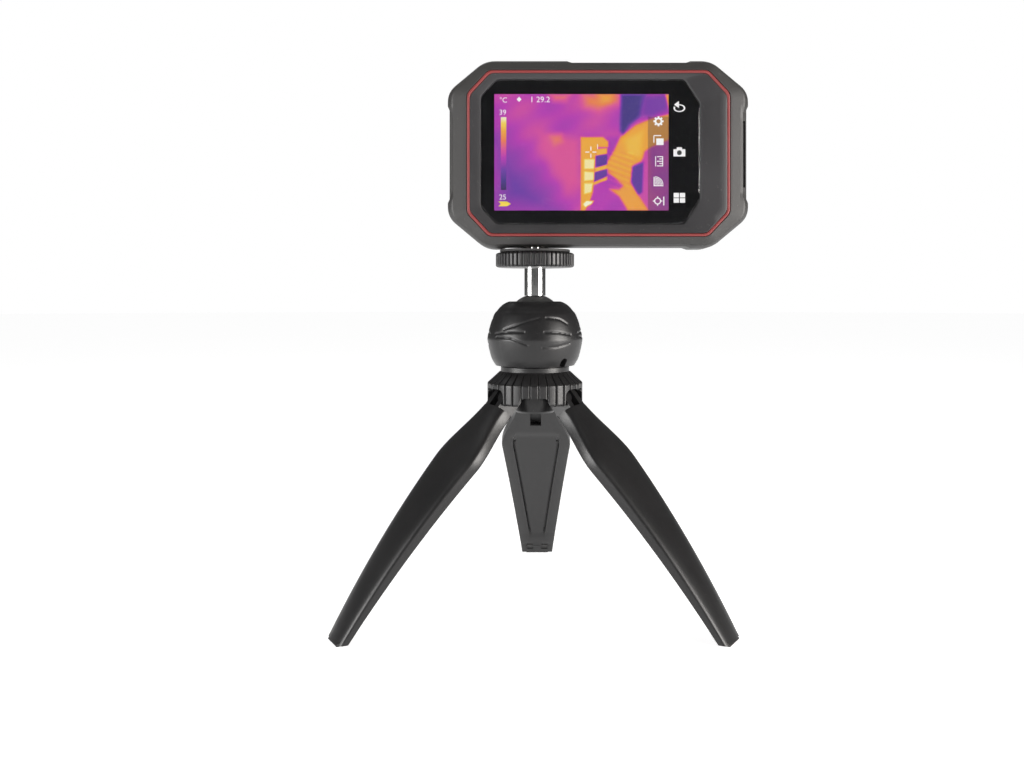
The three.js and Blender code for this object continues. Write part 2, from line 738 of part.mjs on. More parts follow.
// The round lock knob: a shell over the ball and the neck, with a thumb notch in its lower edge.
function lockKnob() {
  const lower = knobCurve(knobFootRadius, -knobFoot, 1, 5).reverse();
  const upper = knobCurve(knobMouth, knobCrown, 0.8, 5).slice(1, -1);
  const crownZ = knobEquator + knobCrown;
  const hollow = ballRadius + seatGap;
  const inside = arcProfile(hollow, ballZ, Math.asin(knobMouth / hollow), Math.PI / 2, 4);
  const shell = turned([
    [knobBore, knobBottom], ...lower, ...upper, [knobMouth + knobMouthWall, crownZ],
    [knobMouth, crownZ], ...inside, [knobBore, ballZ], [knobBore, knobBottom],
  ], 36);
  const notch = new THREE.BoxGeometry(knobNotchWidth, 12, 2 * knobNotchHeight);
  notch.translate(0, -knobFootRadius - 2, knobBottom);
  notch.rotateZ(THREE.MathUtils.degToRad(knobNotchAngle));
  return shell.subtract(solidOf(notch));
}

// The hub: fluted collar, sloped shoulder and the neck that carries the ball's seat. The collar
// has a tall arch over each leg and a low one between legs.
function hub() {
  const roof = collarTop - collarRoof;
  const inner = collarRadius - collarWall;
  const thread = knobBore - runGap;
  const bore = thread - neckWall;
  const floor = ballZ - ballRadius - neckFloor;
  const neckTop = seatBottom - seatGap;
  let body = turned([
    [0, roof], [inner, roof], [inner, collarBottom], [collarRadius - 0.4, collarBottom],
    [collarRadius, collarBottom + 0.4], [collarRadius, collarTop - 0.3], [shoulderRadius, shoulderTop],
    [neckRadius, shoulderTop], [neckRadius, knobBottom - runGap], [thread, knobBottom - runGap],
    [thread, neckTop], [bore, neckTop], [bore, floor], [0, floor],
  ], 36);
  const tall = archShape(knuckleWidth / 2 + 1, collarBottom - 1, pinZ + knuckleRadius + 0.6, archRounding);
  const low = archShape(lowArchHalf, collarBottom - 1, collarBottom + lowArchHeight, lowArchRounding);
  for (let i = 0; i < 3; i += 1) {
    body = body.subtract(aroundAxis(tall, inner - 3, i * 120));
    body = body.subtract(aroundAxis(low, inner - 3, i * 120 + 60));
  }
  return body.subtract(bar(hubScrewRadius + boreGap, 'z', roof - 1, roof + 7, [0, 0, 0], 12));
}

// An arch with rounded shoulders, drawn in X and Z.
function archShape(half, bottom, top, rounding) {
  const shape = new THREE.Shape();
  shape.moveTo(-half, bottom);
  shape.lineTo(half, bottom);
  shape.lineTo(half, top - rounding);
  shape.quadraticCurveTo(half, top, half - rounding, top);
  shape.lineTo(-half + rounding, top);
  shape.quadraticCurveTo(-half, top, -half, top - rounding);
  shape.closePath();
  return shape;
}

// A shape extruded outwards along +Y from a radius, then turned about the tripod's axis.
function aroundAxis(shape, fromRadius, degrees) {
  const geometry = new THREE.ExtrudeGeometry(shape, { depth: 12, bevelEnabled: false, curveSegments: 3 });
  geometry.rotateX(Math.PI / 2);
  geometry.translate(0, fromRadius + 12, 0);
  geometry.rotateZ(THREE.MathUtils.degToRad(degrees));
  return solidOf(geometry);
}

// The carrier under the hub: a cone with one tongue for each leg's pin.
function legCarrier() {
  const roof = collarTop - collarRoof - seatGap;
  const bottom = pinZ - carrierFoot;
  const half = tongueWidth / 2;
  let body = turned([
    [0, bottom], [carrierRadius - 1.8, bottom], [carrierRadius - 0.8, bottom + 1],
    [carrierRadius, pinZ - 2], [carrierRadius, roof], [0, roof],
  ], 30);
  const outward = new THREE.Matrix4().makeBasis(
    new THREE.Vector3(0, 1, 0), new THREE.Vector3(0, 0, 1), new THREE.Vector3(1, 0, 0));
  for (let i = 0; i < 3; i += 1) {
    const turn = THREE.MathUtils.degToRad(i * 120);
    const shape = new THREE.Shape();
    shape.moveTo(0, pinZ + tongueRadius);
    shape.lineTo(0, pinZ - tongueRadius);
    shape.lineTo(legPinCircle, pinZ - tongueRadius);
    shape.absarc(legPinCircle, pinZ, tongueRadius, -Math.PI / 2, Math.PI / 2, false);
    shape.closePath();
    const thick = { depth: tongueWidth, bevelEnabled: false, curveSegments: 8 };
    const tongue = new THREE.ExtrudeGeometry(shape, thick);
    tongue.translate(0, 0, -half);
    tongue.applyMatrix4(outward);
    tongue.rotateZ(turn);
    body = body.add(solidOf(tongue));
    const holeRadius = legPinRadius + boreGap;
    const hole = new THREE.CylinderGeometry(holeRadius, holeRadius, 2 * tongueWidth, 14);
    hole.rotateZ(Math.PI / 2);
    hole.translate(0, legPinCircle, pinZ);
    hole.rotateZ(turn);
    body = body.subtract(solidOf(hole));
  }
  const headSeat = bottom + hubScrewHeadDepth + 0.4;
  body = body.subtract(bar(hubScrewRadius + boreGap, 'z', bottom - 1, roof + 1, [0, 0, 0], 12));
  return body.subtract(bar(hubScrewHeadRadius + 0.4, 'z', bottom - 1, headSeat, [0, 0, 0], 16));
}

function carrierScrew() {
  const headBottom = pinZ - carrierFoot + 0.2;
  const headTop = headBottom + hubScrewHeadDepth;
  const shankTop = collarTop - collarRoof + hubScrewReach;
  const shank = bar(hubScrewRadius, 'z', headTop - 0.2, shankTop, [0, 0, 0], 12);
  const head = bar(hubScrewHeadRadius, 'z', headBottom, headTop, [0, 0, 0], 16);
  const drive = bar(1.3, 'z', headBottom - 1, headBottom + 1.2, [0, 0, 0], 6);
  return shank.add(head).subtract(drive);
}

// ---------------------------------------------------------------- legs

// Each leg is made hanging straight down from its pin: X across, +Y outwards, Z up.
function legHalfWidth(down) {
  const taper = (legFootHalf - legKneeHalf) * ((down - legNeckEnd) / (legLength - legNeckEnd));
  const spread = THREE.MathUtils.smoothstep(down, legNeckEnd, legKneeEnd);
  return legKneeHalf + taper - (legKneeHalf - legNeckHalf) * (1 - spread);
}

function legOuterFace(down) {
  const along = down / legLength;
  return THREE.MathUtils.lerp(legBackAtPin, legBackAtFoot, along) + legBackBow * along * (1 - along);
}

function legInnerRim(down) {
  const along = down / legLength;
  return THREE.MathUtils.lerp(legRimAtPin, legRimAtFoot, along) + legRimBow * along * (1 - along);
}

// Half of a leg's section: across from 0 to 1, and from the inner rim (0) to the crown (1).
const legSection = [[0, 1], [0.38, 0.97], [0.72, 0.87], [0.94, 0.72], [1, 0.58], [1, 0.1], [0.95, 0]];

// A closed bar with the leg's section, bent to its width and depth at each height.
function legForm(from, to, steps, sideInset, outerInset, innerReach) {
  const shape = new THREE.Shape();
  const half = legSection.map(([x, y]) => new THREE.Vector2(x, y));
  const other = legSection.slice(1).reverse().map(([x, y]) => new THREE.Vector2(-x, y));
  shape.setFromPoints([...half, ...other].reverse());
  const geometry = new THREE.ExtrudeGeometry(shape, { depth: 1, steps, bevelEnabled: false });
  const places = geometry.attributes.position;
  for (let i = 0; i < places.count; i += 1) {
    const down = to + (from - to) * places.getZ(i);
    const inner = legInnerRim(down) - innerReach;
    const outer = legOuterFace(down) - outerInset;
    const x = places.getX(i) * (legHalfWidth(down) - sideInset);
    places.setXYZ(i, x, THREE.MathUtils.lerp(inner, outer, places.getY(i)), -down);
  }
  return solidOf(geometry);
}

// Everything below a height above the floor, in the leg's own frame.
function belowFloor(height) {
  const slab = new THREE.BoxGeometry(80, 500, 60);
  slab.translate(0, 0, -30 + height);
  slab.translate(0, 0, -pinZ);
  slab.rotateX(-lean);
  return solidOf(slab);
}

// The rubber pad's block at the end of the leg, larger all round by a gap.
function footCut(gap) {
  const side = legFootHalf - legWall + gap;
  const inner = legInnerRim(legLength) + 0.7 - gap;
  const outer = legOuterFace(legLength) - 0.9 + gap;
  return block([-side, side], [inner, outer], [-legLength - 8, footPadHeight + gap - legLength]);
}

// One leg: a channel open on its inner side, with two knuckles at the pin.
function leg() {
  let body = legForm(shoulderDrop, legLength + 4, 10, 0, 0, 0);
  const pocketEnd = legLength - footPadHeight - legPocketFoot;
  body = body.subtract(legForm(legPocketTop, pocketEnd, 5, legWall + legRimWidth, legWall, 4));
  const half = knuckleWidth / 2;
  const slot = tongueWidth / 2 + runGap;
  body = body.add(bar(knuckleRadius, 'x', -half, half, [0, 0, 0], 20));
  body = body.add(block([-half, half], [-4, knuckleRadius], [-shoulderDrop - 2, 0]));
  body = body.subtract(block([-slot, slot], [-10, 10], [-shoulderDrop + 0.2, knuckleRadius + 1]));
  body = body.subtract(block([-2.65, 2.65], [-10, 1.2], [-20.6, -12]));
  body = body.subtract(bar(legPinRadius + boreGap, 'x', -20, 20, [0, 0, 0], 14));
  return body.subtract(footCut(seatGap)).subtract(belowFloor(footPadProud));
}

function footPad() {
  return footCut(0).subtract(belowFloor(0));
}

function tripodLeg(side, degrees) {
  const turn = new THREE.Group();
  turn.rotation.z = THREE.MathUtils.degToRad(degrees);
  const swing = new THREE.Group();
  swing.position.set(0, legPinCircle, pinZ);
  swing.rotation.x = lean;
  swing.add(meshOf(`leg_${side}`, leg(), blackPlastic));
  swing.add(meshOf(`foot_${side}`, footPad(), rubber));
  const pinHalf = knuckleWidth / 2 - 0.2;
  swing.add(meshOf(`leg_pin_${side}`, bar(legPinRadius, 'x', -pinHalf, pinHalf, [0, 0, 0], 14), steel));
  turn.add(swing);
  return turn;
}

// ---------------------------------------------------------------- assembly

const group = new THREE.Group();
group.add(cameraCase());
group.add(meshOf('disc_pad', discPad(), rubber));
group.add(meshOf('lock_disc', lockDisc(), blackPlastic));
group.add(meshOf('post', post(), steel));
group.add(meshOf('ball', ball(), ballSteel));
group.add(meshOf('ball_seat', ballSeat(), nylon));
group.add(meshOf('lock_knob', lockKnob(), blackPlastic));
group.add(meshOf('hub', hub(), blackPlastic));
group.add(meshOf('leg_carrier', legCarrier(), blackPlastic));
group.add(meshOf('carrier_screw', carrierScrew(), steel));
group.add(tripodLeg('back', 0));
group.add(tripodLeg('left', 120));
group.add(tripodLeg('right', -120));

group.updateMatrixWorld(true);
const bounds = new THREE.Box3().setFromObject(group, true);
const middle = bounds.getCenter(new THREE.Vector3());
group.position.set(-middle.x, -middle.y, -bounds.min.z);
group.updateMatrixWorld(true);

export default group;
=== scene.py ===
"""Looks of a pocket thermal imaging camera on a folding table tripod.

Places on the camera case are millimetres from the middle of its front face: x to the right,
depth behind the front plane, z up. Places on the tripod are millimetres from its own axis.
"""

import math

import bmesh
import bpy
from mathutils import Matrix, Vector


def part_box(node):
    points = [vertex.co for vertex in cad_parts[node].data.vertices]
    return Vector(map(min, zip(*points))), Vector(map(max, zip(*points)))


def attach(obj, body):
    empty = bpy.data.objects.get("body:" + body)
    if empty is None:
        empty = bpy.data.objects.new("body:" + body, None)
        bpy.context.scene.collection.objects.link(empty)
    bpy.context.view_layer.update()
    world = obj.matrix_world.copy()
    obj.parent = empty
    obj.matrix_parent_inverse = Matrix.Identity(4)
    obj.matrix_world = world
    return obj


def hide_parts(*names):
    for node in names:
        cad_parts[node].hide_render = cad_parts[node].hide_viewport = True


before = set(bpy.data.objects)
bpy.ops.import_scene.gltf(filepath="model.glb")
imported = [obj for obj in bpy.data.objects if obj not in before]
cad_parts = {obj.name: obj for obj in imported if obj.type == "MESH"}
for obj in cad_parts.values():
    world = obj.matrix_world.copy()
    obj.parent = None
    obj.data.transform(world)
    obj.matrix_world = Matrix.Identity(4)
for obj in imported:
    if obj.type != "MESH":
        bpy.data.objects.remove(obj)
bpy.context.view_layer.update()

MM = 0.001

# ---------------------------------------------------------------- places taken from the frame


def middle_of(node):
    low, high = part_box(node)
    return (low + high) / 2


case_low, case_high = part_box("armour_frame")
case_middle = middle_of("armour_frame")
CASE_WIDTH = (case_high.x - case_low.x) / MM
CASE_HEIGHT = (case_high.z - case_low.z) / MM
CASE_DEPTH = (case_high.y - case_low.y) / MM
axis_x, axis_y = middle_of("post").xy
ball_z = middle_of("ball").z
disc_low, disc_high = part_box("lock_disc")
knob_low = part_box("lock_knob")[0]
hub_low, hub_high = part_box("hub")
pin_z = middle_of("leg_pin_back").z
PIN_CIRCLE = (middle_of("leg_pin_back").y - axis_y) / MM
BALL_RADIUS = (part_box("ball")[1].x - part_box("ball")[0].x) / 2 / MM

# The finish each node came with, and those finishes set aside for the ones made here.
node_finish = {name: node.material_slots[0].material.name for name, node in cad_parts.items()}
for finish in list(bpy.data.materials):
    finish.name = "plain_" + finish.name

# ---------------------------------------------------------------- sizes, in millimetres

CASE_CUT_X = 17.2
CASE_CUT_Z = 14.3
CUT_SHARE = 0.42
ARMOUR_WALL = 3.0
ARMOUR_FRONT = 2.3
PAD_HEIGHT = 0.8
STRIP_INSET_X = 9.85
STRIP_INSET_Z = 5.9
STRIP_CUT_X = 9.6
STRIP_CUT_Z = 10.3
STRIP_BAND = 1.3
GLASS_WIDTH = 99.3
GLASS_HEIGHT = 65.3
GLASS_SHIFT_X = -3.6
GLASS_SHIFT_Z = 0.7
GLASS_DEPTH = 0.95
GLASS_BACK = 1.8
PICTURE_DEPTH = 1.86
INK_DEPTH = 1.83
PICTURE = (-47.4, 32.0, -25.9, 27.1)

LEG_LENGTH = 124.5
LEG_LEAN = 38.5
KNEE_HALF = 20.6
NECK_HALF = 9.6
FOOT_HALF = 8.4
NECK_END = 5.0
KNEE_END = 38.0
OUTER_AT_PIN, OUTER_AT_FOOT, OUTER_BOW = 4.5, 4.4, 17.5
INNER_AT_PIN, INNER_AT_FOOT, INNER_BOW = -4.0, 0.4, 13.4
FLANGE_WIDTH = 5.1
GROOVE_WIDTH = 1.8
FOOT_CLEAR = 0.8


def case_point(x, depth, z):
    return Vector((case_middle.x + x * MM, case_low.y + depth * MM, case_middle.z + z * MM))


def tripod_point(x, y, z_above):
    """A point by the tripod's axis, with its height already in metres."""
    return Vector((axis_x + x * MM, axis_y + y * MM, z_above))


def clamp(value, low=0.0, high=1.0):
    return max(low, min(high, value))


def mix(a, b, share):
    return a + (b - a) * share


def smooth(value, low, high):
    share = clamp((value - low) / (high - low))
    return share * share * (3 - 2 * share)


# ---------------------------------------------------------------- shader node groups


def new_group(name, kind, inputs, outputs):
    """A node group with its sockets made, given as (name, kind of socket, starting value)."""
    group = bpy.data.node_groups.new(name, kind)
    for label, socket, value in inputs:
        made = group.interface.new_socket(name=label, in_out="INPUT", socket_type=socket)
        if value is not None:
            made.default_value = value
    for label, socket in outputs:
        group.interface.new_socket(name=label, in_out="OUTPUT", socket_type=socket)
    return group, group.nodes.new("NodeGroupInput"), group.nodes.new("NodeGroupOutput")


def math_node(tree, operation, a, b=None, c=None, limit=False):
    node = tree.nodes.new("ShaderNodeMath")
    node.operation = operation
    node.use_clamp = limit
    for place, value in enumerate((a, b, c)):
        if value is None:
            continue
        if isinstance(value, (int, float)):
            node.inputs[place].default_value = value
        else:
            tree.links.new(value, node.inputs[place])
    return node.outputs[0]


def noise_node(tree, vector, scale, detail=3.0, roughness=0.5):
    node = tree.nodes.new("ShaderNodeTexNoise")
    node.inputs["Detail"].default_value = detail
    node.inputs["Roughness"].default_value = roughness
    if isinstance(scale, (int, float)):
        node.inputs["Scale"].default_value = scale
    else:
        tree.links.new(scale, node.inputs["Scale"])
    tree.links.new(vector, node.inputs["Vector"])
    return node.outputs["Fac"]


def mould_grain_group():
    """Fine spark-eroded grain: a height for bump and a slow change of tone."""
    group, given, out = new_group("mould_grain", "ShaderNodeTree", [
        ("Vector", "NodeSocketVector", None),
        ("Grain Scale", "NodeSocketFloat", 2500.0),
        ("Cloud Scale", "NodeSocketFloat", 40.0),
    ], [("Height", "NodeSocketFloat"), ("Tone", "NodeSocketFloat")])
    grain = noise_node(group, given.outputs["Vector"], given.outputs["Grain Scale"], 2.0, 0.6)
    cells = group.nodes.new("ShaderNodeTexVoronoi")
    group.links.new(given.outputs["Vector"], cells.inputs["Vector"])
    group.links.new(given.outputs["Grain Scale"], cells.inputs["Scale"])
    both = math_node(group, "MULTIPLY_ADD", cells.outputs["Distance"], 0.5, grain)
    cloud = noise_node(group, given.outputs["Vector"], given.outputs["Cloud Scale"], 4.0, 0.55)
    group.links.new(both, out.inputs["Height"])
    group.links.new(cloud, out.inputs["Tone"])
    return group


def edge_wear_group():
    """Rubbed edges: a mask that follows convex edges and is broken up by noise."""
    group, given, out = new_group("edge_wear", "ShaderNodeTree", [
        ("Vector", "NodeSocketVector", None),
        ("Amount", "NodeSocketFloat", 0.5),
        ("Break Up Scale", "NodeSocketFloat", 300.0),
    ], [("Mask", "NodeSocketFloat")])
    geometry = group.nodes.new("ShaderNodeNewGeometry")
    raised = math_node(group, "SUBTRACT", geometry.outputs["Pointiness"], 0.52)
    sharp = math_node(group, "MULTIPLY", raised, 9.0, limit=True)
    patches = noise_node(group, given.outputs["Vector"], given.outputs["Break Up Scale"], 5.0, 0.6)
    broken = math_node(group, "MULTIPLY", sharp, patches)
    group.links.new(math_node(group, "MULTIPLY", broken, given.outputs["Amount"], limit=True),
                    out.inputs["Mask"])
    return group


def settled_dust_group():
    """Dust: sparse pale specks with a faint film on faces that look up."""
    group, given, out = new_group("settled_dust", "ShaderNodeTree", [
        ("Vector", "NodeSocketVector", None),
        ("Film", "NodeSocketFloat", 0.04),
        ("Specks", "NodeSocketFloat", 0.3),
        ("Speck Scale", "NodeSocketFloat", 900.0),
    ], [("Mask", "NodeSocketFloat")])
    geometry = group.nodes.new("ShaderNodeNewGeometry")
    split = group.nodes.new("ShaderNodeSeparateXYZ")
    group.links.new(geometry.outputs["Normal"], split.inputs[0])
    upward = math_node(group, "MULTIPLY", split.outputs["Z"], given.outputs["Film"], limit=True)
    cells = group.nodes.new("ShaderNodeTexVoronoi")
    group.links.new(given.outputs["Vector"], cells.inputs["Vector"])
    group.links.new(given.outputs["Speck Scale"], cells.inputs["Scale"])
    near = math_node(group, "LESS_THAN", cells.outputs["Distance"], 0.11)
    sparse = noise_node(group, given.outputs["Vector"], 220.0, 2.0)
    chosen = math_node(group, "GREATER_THAN", sparse, 0.62)
    specks = math_node(group, "MULTIPLY", math_node(group, "MULTIPLY", near, chosen),
                       given.outputs["Specks"])
    group.links.new(math_node(group, "ADD", upward, specks, limit=True), out.inputs["Mask"])
    return group


def brushed_lines_group():
    """Fine lines left by turning or brushing, drawn out along one axis of the vector."""
    group, given, out = new_group("brushed_lines", "ShaderNodeTree", [
        ("Vector", "NodeSocketVector", None),
        ("Stretch", "NodeSocketVector", (60.0, 60.0, 6000.0)),
    ], [("Height", "NodeSocketFloat")])
    scaled = group.nodes.new("ShaderNodeVectorMath")
    scaled.operation = "MULTIPLY"
    group.links.new(given.outputs["Vector"], scaled.inputs[0])
    group.links.new(given.outputs["Stretch"], scaled.inputs[1])
    group.links.new(noise_node(group, scaled.outputs[0], 1.0, 2.0), out.inputs["Height"])
    return group


GRAIN = mould_grain_group()
WEAR = edge_wear_group()
DUST = settled_dust_group()
BRUSHED = brushed_lines_group()


# ---------------------------------------------------------------- materials


def placed_group(tree, group, vector, **values):
    node = tree.nodes.new("ShaderNodeGroup")
    node.node_tree = group
    tree.links.new(vector, node.inputs["Vector"])
    for label, value in values.items():
        node.inputs[label.replace("_", " ")].default_value = value
    return node


def colour_mix(tree, share, first, second):
    node = tree.nodes.new("ShaderNodeMix")
    node.data_type = "RGBA"
    for place, value in ((0, share), (6, first), (7, second)):
        if isinstance(value, tuple):
            node.inputs[place].default_value = (*value, 1.0)
        elif isinstance(value, (int, float)):
            node.inputs[place].default_value = value
        else:
            tree.links.new(value, node.inputs[place])
    return node.outputs[2]


def range_node(tree, value, low, high):
    node = tree.nodes.new("ShaderNodeMapRange")
    node.inputs["To Min"].default_value = low
    node.inputs["To Max"].default_value = high
    tree.links.new(value, node.inputs["Value"])
    return node.outputs["Result"]


def start_material(name):
    material = bpy.data.materials.new(name)
    material.use_nodes = True
    tree = material.node_tree
    shader = tree.nodes["Principled BSDF"]
    place = tree.nodes.new("ShaderNodeTexCoord").outputs["Object"]
    return material, tree, shader, place


def moulded(name, colour, tint, roughness, grain_scale, grain_depth, wear=0.3, dust=0.25,
            film=0.02, worn=(0.2, 0.2, 0.2), specular=0.5):
    """Moulded plastic or rubber: two close tones, grain, rubbed edges and a little dust."""
    material, tree, shader, place = start_material(name)
    grain = placed_group(tree, GRAIN, place, Grain_Scale=grain_scale)
    edges = placed_group(tree, WEAR, place, Amount=wear)
    dusty = placed_group(tree, DUST, place, Specks=dust, Film=film)
    toned = colour_mix(tree, grain.outputs["Tone"], colour, tint)
    rubbed = colour_mix(tree, edges.outputs["Mask"], toned, worn)
    settled = colour_mix(tree, dusty.outputs["Mask"], rubbed, (0.55, 0.53, 0.5))
    tree.links.new(settled, shader.inputs["Base Color"])
    spread = 0.08
    rough = range_node(tree, grain.outputs["Tone"], roughness - spread, roughness + spread)
    tree.links.new(rough, shader.inputs["Roughness"])
    bump = tree.nodes.new("ShaderNodeBump")
    bump.inputs["Strength"].default_value = 0.35
    bump.inputs["Distance"].default_value = grain_depth
    tree.links.new(grain.outputs["Height"], bump.inputs["Height"])
    tree.links.new(bump.outputs["Normal"], shader.inputs["Normal"])
    shader.inputs["Specular IOR Level"].default_value = specular
    return material


def metal(name, colour, tint, roughness, stretch, depth, wear=0.2):
    """Bare or plated metal with fine machining lines and a slow change of tone."""
    material, tree, shader, place = start_material(name)
    lines = placed_group(tree, BRUSHED, place, Stretch=stretch)
    grain = placed_group(tree, GRAIN, place, Grain_Scale=1200.0)
    edges = placed_group(tree, WEAR, place, Amount=wear)
    toned = colour_mix(tree, grain.outputs["Tone"], colour, tint)
    bright = colour_mix(tree, edges.outputs["Mask"], toned, (0.85, 0.85, 0.84))
    tree.links.new(bright, shader.inputs["Base Color"])
    rough = range_node(tree, lines.outputs["Height"], roughness * 0.8, roughness * 1.25)
    tree.links.new(rough, shader.inputs["Roughness"])
    bump = tree.nodes.new("ShaderNodeBump")
    bump.inputs["Strength"].default_value = 0.3
    bump.inputs["Distance"].default_value = depth
    tree.links.new(lines.outputs["Height"], bump.inputs["Height"])
    tree.links.new(bump.outputs["Normal"], shader.inputs["Normal"])
    shader.inputs["Metallic"].default_value = 1.0
    return material


def clear_glass(name, roughness, tint):
    material, tree, shader, place = start_material(name)
    grain = placed_group(tree, GRAIN, place, Grain_Scale=90.0)
    rough = range_node(tree, grain.outputs["Tone"], roughness, roughness + 0.03)
    tree.links.new(rough, shader.inputs["Roughness"])
    dusty = placed_group(tree, DUST, place, Specks=0.12, Film=0.0)
    tree.links.new(colour_mix(tree, dusty.outputs["Mask"], tint, (0.5, 0.5, 0.5)),
                   shader.inputs["Base Color"])
    shader.inputs["Transmission Weight"].default_value = 1.0
    shader.inputs["IOR"].default_value = 1.45
    return material


def colour_ramp(tree, value, stops):
    node = tree.nodes.new("ShaderNodeValToRGB")
    ramp = node.color_ramp
    for place, colour in stops[1:-1]:
        ramp.elements.new(place).color = (*colour, 1.0)
    ramp.elements[0].color = (*stops[0][1], 1.0)
    ramp.elements[len(stops) - 1].color = (*stops[-1][1], 1.0)
    tree.links.new(value, node.inputs["Fac"])
    return node.outputs["Color"]


HEAT_STOPS = [
    (0.0, (0.010, 0.008, 0.080)), (0.14, (0.040, 0.030, 0.230)), (0.28, (0.130, 0.030, 0.360)),
    (0.44, (0.470, 0.030, 0.430)), (0.56, (0.720, 0.080, 0.300)), (0.68, (0.830, 0.210, 0.060)),
    (0.81, (0.860, 0.400, 0.020)), (0.92, (0.900, 0.700, 0.080)), (1.0, (0.920, 0.900, 0.640)),
]


def heat_picture_material():
    """The lit heat picture: the piece's own warmth attribute read through a palette."""
    material, tree, shader, place = start_material("heat_picture")
    heat = tree.nodes.new("ShaderNodeAttribute")
    heat.attribute_name = "warmth"
    colours = colour_ramp(tree, heat.outputs["Fac"], HEAT_STOPS)
    cells = noise_node(tree, place, 900.0, 1.0)
    lit = colour_mix(tree, range_node(tree, cells, 0.0, 0.08), colours, (0.6, 0.2, 0.5))
    veil = tree.nodes.new("ShaderNodeAttribute")
    veil.attribute_name = "veil"
    lit = colour_mix(tree, math_node(tree, "MULTIPLY", veil.outputs["Fac"], 0.5), lit,
                     (0.05, 0.045, 0.05))
    tree.links.new(lit, shader.inputs["Emission Color"])
    shader.inputs["Emission Strength"].default_value = 1.0
    shader.inputs["Base Color"].default_value = (0.01, 0.01, 0.012, 1.0)
    shader.inputs["Roughness"].default_value = 0.4
    return material


def lit_ink(name, colour, strength):
    material, tree, shader, place = start_material(name)
    cells = noise_node(tree, place, 4000.0, 1.0)
    faded = tuple(0.9 * part for part in colour)
    tree.links.new(colour_mix(tree, cells, colour, faded), shader.inputs["Emission Color"])
    shader.inputs["Emission Strength"].default_value = strength
    shader.inputs["Base Color"].default_value = (0.02, 0.02, 0.02, 1.0)
    return material


def circuit_board_material():
    """Solder mask with copper tracks under it and bright pads."""
    material, tree, shader, place = start_material("circuit_board")
    tracks = tree.nodes.new("ShaderNodeTexBrick")
    tree.links.new(place, tracks.inputs["Vector"])
    tracks.inputs["Scale"].default_value = 220.0
    tracks.inputs["Mortar Size"].default_value = 0.012
    tracks.inputs["Color1"].default_value = (0.010, 0.085, 0.040, 1.0)
    tracks.inputs["Color2"].default_value = (0.012, 0.110, 0.050, 1.0)
    tracks.inputs["Mortar"].default_value = (0.060, 0.220, 0.080, 1.0)
    cells = tree.nodes.new("ShaderNodeTexVoronoi")
    cells.inputs["Scale"].default_value = 380.0
    tree.links.new(place, cells.inputs["Vector"])
    pads = math_node(tree, "LESS_THAN", cells.outputs["Distance"], 0.16)
    tree.links.new(colour_mix(tree, pads, tracks.outputs["Color"], (0.62, 0.60, 0.55)),
                   shader.inputs["Base Color"])
    tree.links.new(pads, shader.inputs["Metallic"])
    grain = placed_group(tree, GRAIN, place, Grain_Scale=900.0)
    tree.links.new(range_node(tree, grain.outputs["Tone"], 0.3, 0.55), shader.inputs["Roughness"])
    return material


